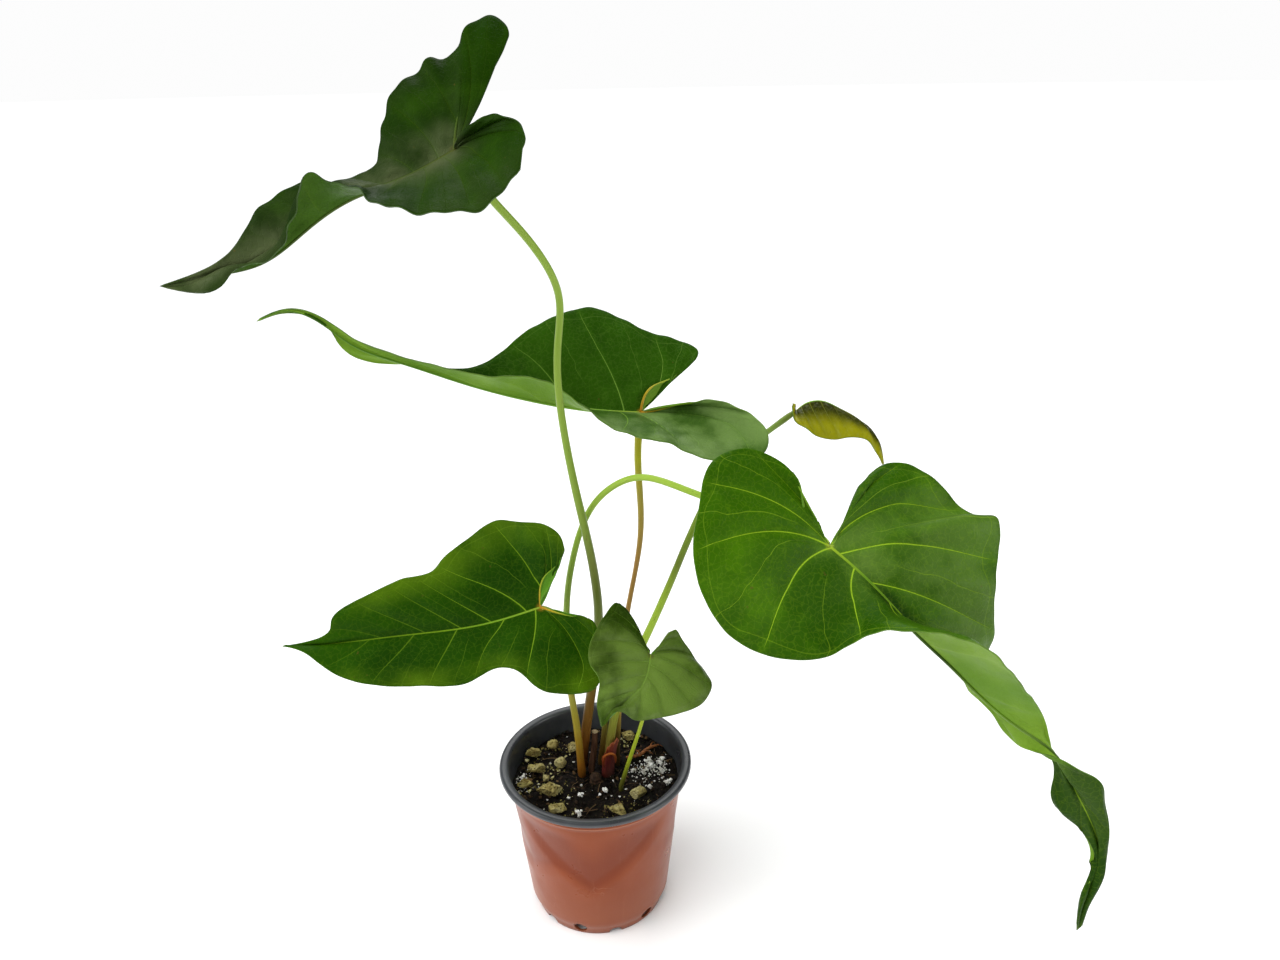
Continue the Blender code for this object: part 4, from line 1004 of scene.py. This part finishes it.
def make_crown():
    x, y = CROWN["foot"]
    top = SOIL_LEVEL + CROWN["height"]
    heights = np.linspace(SOIL_LEVEL - SOCKET_DEPTH, top, 26)
    share = np.linspace(0.0, 1.0, 26)
    radii = CROWN["radius"] * (0.35 + 0.65 * np.sqrt(np.clip(1 - share ** 6, 0, 1)))

    def knobs(at, turn):
        return (1 + 0.10 * math.sin(26 * at + math.sin(turn)) + 0.16 * grain(math.cos(turn), math.sin(turn),
                                                                             3 * at, 1.7))

    verts, faces, _, _ = sweep([(x, y, z) for z in heights], radii, 40, knobs)
    piece("rhizome_crown", verts, faces,
          [bark_paint("rhizome_bark", (0.022, 0.012, 0.007), (0.07, 0.035, 0.018))],
          ["crown"], "rhizome_bark")

    x, y = STUB["foot"]
    end = above_soil([STUB["top"]])[0]
    foot = np.array([x, y, SOIL_LEVEL - SOCKET_DEPTH + 0.5])
    line = spline([foot, (x, y, SOIL_LEVEL + 3.0), (foot + end) / 2 + (0.3, 0.2, 3.0), end], 60)
    share = np.linspace(0, 1, 60)
    radii = STUB["radius"] * (1.08 - 0.16 * share + 0.18 * smooth_step(share, 0.93, 1.0))

    def shrunk(at, turn):
        return 1 + 0.05 * math.sin(7 * turn + 3 * at) + 0.09 * grain(math.cos(turn), math.sin(turn), 5 * at,
                                                                     2.1, 4.0)

    verts, faces, _, _ = sweep(line, radii, 28, shrunk)
    verts[-1] = line[-1] - (0, 0, 0.7)
    sides = len(faces) - 28
    piece("stalk_stub", verts, faces,
          [bark_paint("stub_side", (0.045, 0.018, 0.010), (0.13, 0.06, 0.03), 300.0, 0.7, 0.15),
           bark_paint("stub_cut", (0.20, 0.14, 0.07), (0.42, 0.33, 0.19), 700.0, 0.85, 1.0)],
          ["cut_stub"], "dry_stub", indices=[0] * sides + [1] * 28)


def soil_bump(x, y):
    return math.sin(0.21 * x + 0.4) * math.cos(0.17 * y) + 0.6 * math.sin(0.33 * y - 0.19 * x)


def make_scale():
    """The papery scale round the youngest stalk, with a torn rim and one edge curled over."""
    x, y = SHEATH["foot"]
    first, last = (math.radians(v) for v in SHEATH["turn"])
    base = SOIL_LEVEL - SOCKET_DEPTH + 0.6
    rows, columns = 44, 56
    verts, faces, along = [], [], []
    for j in range(rows + 1):
        up = j / rows
        for i in range(columns + 1):
            across = i / columns
            turn = first + (last - first) * across
            torn = 1 + 0.05 * grain(9 * across, 0.3, 0.1, 1.0) + 0.03 * grain(31 * across, 2.0, 0.4, 1.0)
            height = (SHEATH["height"] + SOCKET_DEPTH) * (0.55 + 0.45 * math.sin(math.pi * across)) * torn
            spread = SHEATH["radius"] + 1.2 * max(0.0, up - 0.4) + 0.9 * max(0.0, up - 0.88) / 0.12
            spread += 0.12 * math.sin(34 * across) * up + 0.35 * grain(6 * across, 4 * up, 0.0, 1.0, 2.0)
            verts.append((x + 2.6 * max(0.0, up - 0.3) + spread * math.cos(turn),
                          y + 1.4 * max(0.0, up - 0.3) + spread * math.sin(turn), base + height * up))
            along.append(up)
    wide = columns + 1
    for j in range(rows):
        for i in range(columns):
            faces.append((j * wide + i, j * wide + i + 1, (j + 1) * wide + i + 1, (j + 1) * wide + i))
    obj = piece("dry_scale", verts, faces, [scale_paint()], ["cataphyll"], "dry_scale",
                along=("FLOAT", "POINT", along))
    skin = obj.modifiers.new("thickness", "SOLIDIFY")
    skin.thickness = SHEATH["wall"] * MM
    skin.offset = 0.0

    curl = spline(above_soil([(5.5, -2.6, 9), (5.2, -3.6, 15), (7.0, -4.2, 19.5), (10.5, -3.4, 20),
                              (12.6, -1.6, 15.5), (12.4, -0.8, 11)]), 60)
    share = np.linspace(0, 1, 60)
    radii = 0.25 + 0.65 * np.sin(np.pi * share) ** 0.6

    def crinkled(at, turn):
        return 1 + 0.2 * math.sin(2 * turn) + 0.1 * grain(math.cos(turn), math.sin(turn), 6 * at, 2.0)

    paint = stalk_paint("dry_scale_curl", [(0.0, (0.10, 0.012, 0.008)), (0.3, (0.30, 0.05, 0.014)),
                                           (0.6, (0.40, 0.10, 0.02)), (1.0, (0.16, 0.02, 0.01))], 0.8, 0.5)
    tube("dry_scale_curl", sweep(curl, radii, 14, crinkled), paint, [], "dry_scale")


def make_root():
    flat = np.array([(px, py, 0.0) for px, py in ROOT["path"]])
    line = spline(flat, 60)
    for k, point in enumerate(line):
        point[2] = SOIL_LEVEL + 1.6 + 0.8 * soil_bump(point[0], point[1]) + 0.5 * math.sin(k / 7.0)
    share = np.linspace(0, 1, 60)

    def knotted(at, turn):
        return 1 + 0.2 * grain(math.cos(turn), math.sin(turn), 14 * at, 1.6)

    radii = ROOT["radius"] * (0.65 + 0.45 * np.sin(np.pi * share))
    parts = [sweep(line, radii, 18, knotted)[:3]]
    twigs = ((14, (4, 5, 2)), (26, (-5, 4, 1)), (34, (6, -3, 2)), (47, (3, 6, 1)), (52, (7, 1, 0)))
    for start, reach in twigs:
        here = line[start]
        ends = [here, here + 0.5 * np.array(reach) + (0, 0, 1.0), here + np.array(reach) - (0, 0, 1.2)]
        twig = spline(ends, 18)
        parts.append(sweep(twig, np.linspace(0.5, 0.15, 18), 8)[:3])
    verts, faces, _ = joined(parts)
    piece("aerial_root_skin", verts, faces,
          [bark_paint("root_skin", (0.11, 0.035, 0.010), (0.36, 0.13, 0.035), 420.0, 0.65, 1.0)],
          ["aerial_root"], "root_skin")


# ---------------------------------------------------------------- soil, chunks, perlite

def make_soil():
    rings, segments = 66, 168
    bottom = FLOOR_HEIGHT + WALL + 0.3
    top_radius = wall_radius(SOIL_LEVEL) - WALL - 0.25
    levels = [(wall_radius(bottom) - WALL - 2.2, bottom)]
    levels += [(wall_radius(z) - WALL - 0.45, z) for z in np.linspace(bottom + 3, SOIL_LEVEL - 2.0, 30)]
    verts = []
    for radius, height in levels:
        for i in range(segments):
            turn = 360.0 * i / segments
            inner = radius - dent(turn, height)
            verts.append((inner * math.cos(math.radians(turn)), inner * math.sin(math.radians(turn)), height))
    for k in range(rings):
        radius = top_radius * (1 - (k + 0.1) / rings)
        for i in range(segments):
            turn = 2 * math.pi * i / segments
            x, y = radius * math.cos(turn), radius * math.sin(turn)
            lumps = 0.9 * grain(x, y, 0, 0.16, 3) + 0.75 * grain(x, y, 0, 0.42, 7)
            lumps += 0.45 * grain(x, y, 0, 1.1, 1)
            verts.append((x, y, SOIL_LEVEL + soil_bump(x, y) + lumps - 1.2 * (radius / top_radius) ** 10))
    total = len(levels) + rings
    faces = ring_faces(total, segments)
    for ring, turned in ((0, True), (total - 1, False)):
        around = [ring * segments + i for i in range(segments)]
        faces.append(list(reversed(around)) if turned else around)
    piece("root_ball", verts, faces, [soil_paint()], ["soil"], "potting_mix")


def on_soil(reach=50.5):
    """A random place on the soil."""
    radius = reach * math.sqrt(random.random())
    turn = 2 * math.pi * random.random()
    return radius * math.cos(turn), radius * math.sin(turn)


def crumb(base, x, y, z, size, seed, rough=0.35):
    verts, faces = base
    scale = np.array([random.uniform(0.7, 1.25), random.uniform(0.7, 1.25), random.uniform(0.5, 0.95)]) * size
    spin = np.array(Matrix.Rotation(random.uniform(0, 6.28), 3,
                                    Vector((random.random(), random.random(), 1))))
    bumps = np.array([1 + rough * 2 * grain(*v, 1.4, seed) for v in verts])
    return (verts * bumps[:, None] * scale) @ spin.T + (x, y, z), faces


def make_crumbs():
    rough, fine = ball(2), ball(1)
    parts = []
    for k in range(SOIL_CRUMBS):
        x, y = on_soil()
        size = 0.25 + 1.15 * random.random() ** 3
        height = SOIL_LEVEL + soil_bump(x, y) + 0.35 * size
        verts, faces = crumb(rough if size > 0.9 else fine, x, y, height, size, 0.37 * k)
        parts.append((verts, faces, [random.random() ** 2.2] * len(verts)))
    paint = crumb_paint("soil_crumb", [(0.0, (0.006, 0.004, 0.003)), (0.45, (0.014, 0.009, 0.006)),
                                       (0.8, (0.05, 0.027, 0.013)), (1.0, (0.12, 0.07, 0.03))])
    heap("soil_crumbs", parts, paint, [], "potting_mix")

    parts = []
    for k in range(SOIL_FIBRES):
        x, y = on_soil(47.0)
        turn = random.uniform(0, 6.28)
        length = random.uniform(3.0, 11.0)
        bend = random.uniform(-0.5, 0.5)
        ends = []
        for step in (-0.5, 0.0, 0.5):
            px = x + length * step * math.cos(turn) - bend * length * (0.25 - step * step) * math.sin(turn)
            py = y + length * step * math.sin(turn) + bend * length * (0.25 - step * step) * math.cos(turn)
            ends.append((px, py, SOIL_LEVEL + soil_bump(px, py) + random.uniform(0.5, 1.5)))
        radii = np.linspace(0.22, 0.10, 12) * random.uniform(0.6, 1.6)
        verts, faces, _, _ = sweep(spline(ends, 12), radii, 6)
        parts.append((verts, faces, [random.random()] * len(verts)))
    verts, faces, tone = joined(parts)
    paint = crumb_paint("soil_fibre", [(0.0, (0.02, 0.012, 0.007)), (0.6, (0.06, 0.033, 0.016)),
                                       (1.0, (0.16, 0.10, 0.045))], 0.75)
    piece("soil_fibres", verts, faces, [paint], [], "potting_mix", tone=("FLOAT", "POINT", tone))


def make_chunks():
    """Porous pieces: broken lumps with flat breaks and deep pits, and crumbs of the same stuff round them."""
    base, faces = ball(5)
    paint = chunk_paint()
    centres = []
    for number in range(1, CHUNK_COUNT + 1):
        node = f"chunk_{number:02d}"
        low, high = (np.array(v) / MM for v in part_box(node))
        centre, half = (low + high) / 2, (high - low) / 2
        centres.append((centre, half))
        seed = 1.7 * number
        breaks = [Vector([random.gauss(0, 1) for _ in range(3)]).normalized() for _ in range(11)]
        depths = [random.uniform(0.52, 0.88) for _ in breaks]
        verts, depth = [], []
        for v in base:
            out = Vector(v)
            cuts = [deep / out.dot(side) for side, deep in zip(breaks, depths) if out.dot(side) > 0.3]
            reach = min([1.12] + cuts)
            far = noise.voronoi(Vector(v * half * 0.42 + seed))[0][0]
            small = noise.voronoi(Vector(v * half * 0.95 - seed))[0][0]
            pit = max(0.0, 1 - far / 0.40) ** 0.9
            pore = max(0.0, 1 - small / 0.42)
            rough = 0.10 * noise.noise(out * 5.0 - Vector((seed, seed, seed)))
            verts.append(centre + np.array(v) * half * (1.12 * reach + rough - 0.22 * pit - 0.10 * pore))
            # depth: how far a point lies in a pit or pore, which the paint darkens as painted shade.
            depth.append(min(1.0, pit + 0.5 * pore))
        piece(f"porous_{number:02d}", verts, faces, [paint], [node], "porous_chunk", smooth=False,
              depth=("FLOAT", "POINT", depth))
    fine = ball(1)
    parts = []
    for k in range(POROUS_CRUMBS):
        centre, half = centres[k % len(centres)]
        turn, far = random.uniform(0, 6.28), random.uniform(0.8, 2.2)
        x, y = centre[0] + half[0] * far * math.cos(turn), centre[1] + half[1] * far * math.sin(turn)
        if math.hypot(x, y) > 50.0:
            continue
        size = 0.2 + 0.9 * random.random() ** 2.5
        verts, crumb_faces = crumb(fine, x, y, SOIL_LEVEL + soil_bump(x, y) + 0.6, size, 0.7 * k, 0.6)
        parts.append((verts, crumb_faces, [random.random()] * len(verts)))
    paint = crumb_paint("porous_crumb", [(0.0, (0.07, 0.055, 0.015)), (0.5, (0.24, 0.20, 0.06)),
                                         (1.0, (0.52, 0.48, 0.26))], 0.9, 1200.0)
    heap("porous_crumbs", parts, paint, [], "porous_chunk")


def make_perlite():
    """Each clump is a heap of small broken grains; single grains lie round about."""
    fine = ball(2)
    paint = crumb_paint("perlite",
                        [(0.0, (0.50, 0.47, 0.42)), (0.5, (0.74, 0.72, 0.68)), (1.0, (0.88, 0.87, 0.84))],
                        0.9, 1400.0)
    for number in range(1, CLUMP_COUNT + 1):
        node = f"perlite_{number:02d}"
        low, high = (np.array(v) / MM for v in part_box(node))
        centre, half = (low + high) / 2, (high - low) / 2
        parts = []
        for k in range(10):
            at = centre + half * np.array([random.gauss(0, 0.42), random.gauss(0, 0.42),
                                           random.uniform(-0.8, 0.5)])
            verts, faces = crumb(fine, *at, random.uniform(0.25, 0.55) * half[0], 0.61 * k + number, 0.6)
            parts.append((verts, faces, [random.random()] * len(verts)))
        heap(f"perlite_heap_{number:02d}", parts, paint, [node], "perlite_grain")
    parts = []
    spots = [(-15, 13), (-9, -8), (3, -17), (15, -21), (11, -6), (8, 1), (19, -13), (-8, -31), (-16, -21)]
    for k in range(PERLITE_GRAINS):
        if k < len(spots):
            x, y, size = *spots[k], random.uniform(0.7, 1.0)
        elif k < 210:
            x, y, size = 35 + random.gauss(0, 6.0), 6 + random.gauss(0, 6.5), random.uniform(0.15, 0.6)
        elif k < 270:
            x, y, size = -46 + random.gauss(0, 2.2), -6 + random.gauss(0, 6.0), random.uniform(0.2, 0.7)
        else:
            x, y = on_soil(48.0)
            size = random.uniform(0.15, 0.5)
        if math.hypot(x, y) > 50.0:
            continue
        verts, faces = crumb(fine, x, y, SOIL_LEVEL + soil_bump(x, y) + 0.7, size, 0.9 * k, 0.6)
        parts.append((verts, faces, [random.random()] * len(verts)))
    heap("perlite_grains", parts, paint, [], "perlite_grain")


# ---------------------------------------------------------------- pot

def wall_radius(height):
    share = height / (POT_HEIGHT - RIM_DEPTH)
    return BASE_RADIUS + (BODY_TOP_RADIUS - BASE_RADIUS) * share


def dent(turn, height):
    """How far the soft wall is pushed in: a broad V-shaped dent at the front and weaker ones round about."""
    total = 0.0
    for middle, low, slope, deep, wide in ((-92, 46, 0.75, 1.7, 62), (28, 46, 0.5, 1.1, 48),
                                           (140, 38, 0.7, 1.3, 55), (215, 50, 0.4, 1.0, 45)):
        away = (turn - middle + 180) % 360 - 180
        side = 1 - smooth_step(abs(away), 0.55 * wide, wide)
        crease = low + slope * abs(away)
        above = np.clip(1 - (height - crease) / 40.0, 0, 1) if height > crease else np.clip(
            1 + (height - crease) / 11.0, 0, 1)
        total += deep * side * above
    room = smooth_step(height, 10.0, 26.0) * (1 - smooth_step(height, 82.0, 93.0))
    return float(total * room)


def pot_section():
    """Half section, outside first: foot, wall, ledge, rolled rim, inside, floor, underside and pad."""
    floor_top = FLOOR_HEIGHT + WALL
    ledge = POT_HEIGHT - LEDGE_DROP
    under_rim = POT_HEIGHT - RIM_DEPTH
    foot_inner = BASE_RADIUS - 2.2 - WALL
    inside_top = BODY_TOP_RADIUS - WALL
    outside = [(PAD_RADIUS, 0.0), (PAD_RADIUS + 1.0, FLOOR_HEIGHT), (foot_inner, FLOOR_HEIGHT),
               (foot_inner, 0.0), (BASE_RADIUS - 2.2, 0.0),
               (BASE_RADIUS - 1.7, 2.0), (BASE_RADIUS - 1.2, 4.0),
               (BASE_RADIUS - 0.2, 6.5)]
    outside += [(wall_radius(z), z) for z in np.linspace(9.0, ledge - 0.2, 40)]
    outside += [(wall_radius(ledge) + 0.45 * LEDGE_STEP, ledge),
                (wall_radius(ledge) + LEDGE_STEP, ledge + 0.35),
                (wall_radius(ledge) + LEDGE_STEP, ledge + 1.0), (wall_radius(ledge + 2) + 0.3, ledge + 2.2),
                (BODY_TOP_RADIUS + 0.3, under_rim - 0.3), (BODY_TOP_RADIUS + 0.9, under_rim + 0.1)]
    rolled = [(RIM_RADIUS - 2.4, POT_HEIGHT - 4.3)]
    for k in range(15):
        turn = math.radians(-80 + 170 * k / 14)
        rolled.append((RIM_RADIUS - 2.1 + 2.1 * math.cos(turn), POT_HEIGHT - 2.1 + 2.1 * math.sin(turn)))
    rolled += [(RIM_RADIUS - 3.4, POT_HEIGHT - 0.1), (inside_top + 1.6, POT_HEIGHT - 0.4),
               (inside_top + 0.9, POT_HEIGHT - 1.0), (inside_top + 0.4, POT_HEIGHT - 2.2)]
    inside = [(wall_radius(z) - WALL, z) for z in np.linspace(under_rim - 0.5, floor_top + 2.5, 42)]
    inside += [(wall_radius(floor_top) - WALL - 1.5, floor_top)]
    return outside, rolled, inside


def make_pot():
    outside, rolled, inside = pot_section()
    section = outside + rolled + inside
    segments = 240
    verts, pushed = [], []
    for radius, height in section:
        for i in range(segments):
            turn = 360.0 * i / segments
            wavy = 0.12 * grain(math.cos(math.radians(turn)) * 2, math.sin(math.radians(turn)) * 2,
                                height / 30.0, 1.0)
            push = dent(turn, height) if radius > BASE_RADIUS - 6 else 0.0
            # How far the wall is pushed in, kept for the outside paint, which darkens the dents as painted
            # shade and dark reflection.
            pushed.append(push / 1.7)
            r = radius - push + (wavy if height > 12 else 0.0)
            verts.append((r * math.cos(math.radians(turn)), r * math.sin(math.radians(turn)), height))
    faces, indices = [], []
    plain = len(outside)
    for s in range(len(section) - 1):
        for i in range(segments):
            j = (i + 1) % segments
            faces.append((s * segments + i, s * segments + j, (s + 1) * segments + j, (s + 1) * segments + i))
            indices.append(0 if s < plain - 1 else 1)
    faces.append([i for i in reversed(range(segments))])
    indices.append(0)
    last = (len(section) - 1) * segments
    faces.append([last + i for i in range(segments)])
    indices.append(1)
    pot = piece("pot_shell", verts, faces, [pot_outside(), pot_inside()], ["pot"], "pot_plastic",
                indices=indices,
                pushed=("FLOAT", "POINT", pushed))

    notches = bmesh.new()
    for i in range(FOOT_COUNT):
        drain = i % 2 == 0
        radius, height = (4.2, FLOOR_HEIGHT + 0.6) if drain else (4.0, 0.0)
        turn = 2 * math.pi * (i + 0.5) / FOOT_COUNT
        made = bmesh.ops.create_cone(notches, cap_ends=True, segments=28, radius1=radius * MM,
                                     radius2=radius * MM,
                                     depth=14.0 * MM)
        for vert in made["verts"]:
            x, y, z = vert.co
            out = z + (BASE_RADIUS - 2.0) * MM
            vert.co = (out * math.cos(turn) - x * math.sin(turn), out * math.sin(turn) + x * math.cos(turn),
                       y + height * MM)
    bmesh.ops.recalc_face_normals(notches, faces=notches.faces)
    data = bpy.data.meshes.new("notch_cutter")
    notches.to_mesh(data)
    notches.free()
    cutter = bpy.data.objects.new("notch_cutter", data)
    bpy.context.scene.collection.objects.link(cutter)
    cut = pot.modifiers.new("notches", "BOOLEAN")
    cut.operation = "DIFFERENCE"
    cut.solver = "EXACT"
    cut.object = cutter
    bpy.context.view_layer.update()
    solid = bpy.data.meshes.new_from_object(pot.evaluated_get(bpy.context.evaluated_depsgraph_get()))
    pot.modifiers.clear()
    pot.data = solid
    bpy.data.objects.remove(cutter, do_unlink=True)


# ---------------------------------------------------------------- studio

def make_studio():
    data = bpy.data.meshes.new("floor")
    around = [math.radians(7.5 * k) for k in range(48)]
    data.from_pydata([(30.0 * math.cos(a), 30.0 * math.sin(a), 0.0) for a in around], [], [list(range(48))])
    data.materials.append(floor_paint())
    floor = bpy.data.objects.new("floor", data)
    bpy.context.scene.collection.objects.link(floor)

    world = bpy.data.worlds.new("studio")
    world.use_nodes = True
    tree = world.node_tree
    light = tree.nodes["Background"]
    light.inputs["Color"].default_value = (0.96, 0.98, 1.0, 1.0)
    light.inputs["Strength"].default_value = 0.42
    backdrop = tree.nodes.new("ShaderNodeBackground")
    backdrop.inputs["Color"].default_value = (0.98, 0.98, 0.98, 1.0)
    backdrop.inputs["Strength"].default_value = 1.0
    path = tree.nodes.new("ShaderNodeLightPath")
    either = tree.nodes.new("ShaderNodeMixShader")
    dim = tree.nodes.new("ShaderNodeBackground")
    dim.inputs["Color"].default_value = (0.96, 0.98, 1.0, 1.0)
    dim.inputs["Strength"].default_value = 0.10
    shiny = tree.nodes.new("ShaderNodeMixShader")
    tree.links.new(path.outputs["Is Glossy Ray"], shiny.inputs[0])
    tree.links.new(light.outputs[0], shiny.inputs[1])
    tree.links.new(dim.outputs[0], shiny.inputs[2])
    tree.links.new(path.outputs["Is Camera Ray"], either.inputs[0])
    tree.links.new(shiny.outputs[0], either.inputs[1])
    tree.links.new(backdrop.outputs[0], either.inputs[2])
    tree.links.new(either.outputs[0], tree.nodes["World Output"].inputs["Surface"])
    bpy.context.scene.world = world

    target = Vector((0.03, 0.0, 0.26))
    lamps = (("sun", "SUN", (-0.38, -0.35, 1.45), math.radians(60), 2.75),
             ("left", "AREA", (-1.1, -0.3, 0.7), 0.8, 5.0),
             ("right", "AREA", (1.2, -0.5, 0.6), 0.6, 4.0),
             ("back", "AREA", (0.0, 0.9, 1.3), 1.0, 7.0))
    for name, kind, place, size, power in lamps:
        lamp = bpy.data.lights.new(name, kind)
        if kind == "SUN":
            lamp.angle = size
        else:
            lamp.size = size
        lamp.energy = power
        obj = bpy.data.objects.new(name, lamp)
        obj.location = place
        obj.visible_glossy = kind != "SUN"
        obj.rotation_mode = "QUATERNION"
        obj.rotation_quaternion = (target - Vector(place)).to_track_quat("-Z", "Y")
        bpy.context.scene.collection.objects.link(obj)

    pitch, roll = math.radians(CAMERA_PITCH), math.radians(CAMERA_ROLL)
    forward = Vector((0.0, math.cos(pitch), -math.sin(pitch)))
    right = Vector((1.0, 0.0, 0.0))
    up = right.cross(forward)
    side = math.cos(roll) * right + math.sin(roll) * up
    top = -math.sin(roll) * right + math.cos(roll) * up
    lens = bpy.data.cameras.new("camera")
    lens.lens = CAMERA_LENS
    lens.sensor_width = 36.0
    lens.clip_start = 0.01
    camera = bpy.data.objects.new("camera", lens)
    turn = Matrix((side, top, -forward)).transposed().to_4x4()
    camera.matrix_world = Matrix.Translation(CAMERA_PLACE) @ turn
    bpy.context.scene.collection.objects.link(camera)
    bpy.context.scene.camera = camera
    bpy.context.scene.view_settings.view_transform = "Standard"


make_pot()
make_soil()
make_crumbs()
make_chunks()
make_perlite()
make_crown()
make_scale()
make_root()
make_stalks()
make_leaves()
make_studio()

bpy.context.view_layer.update()
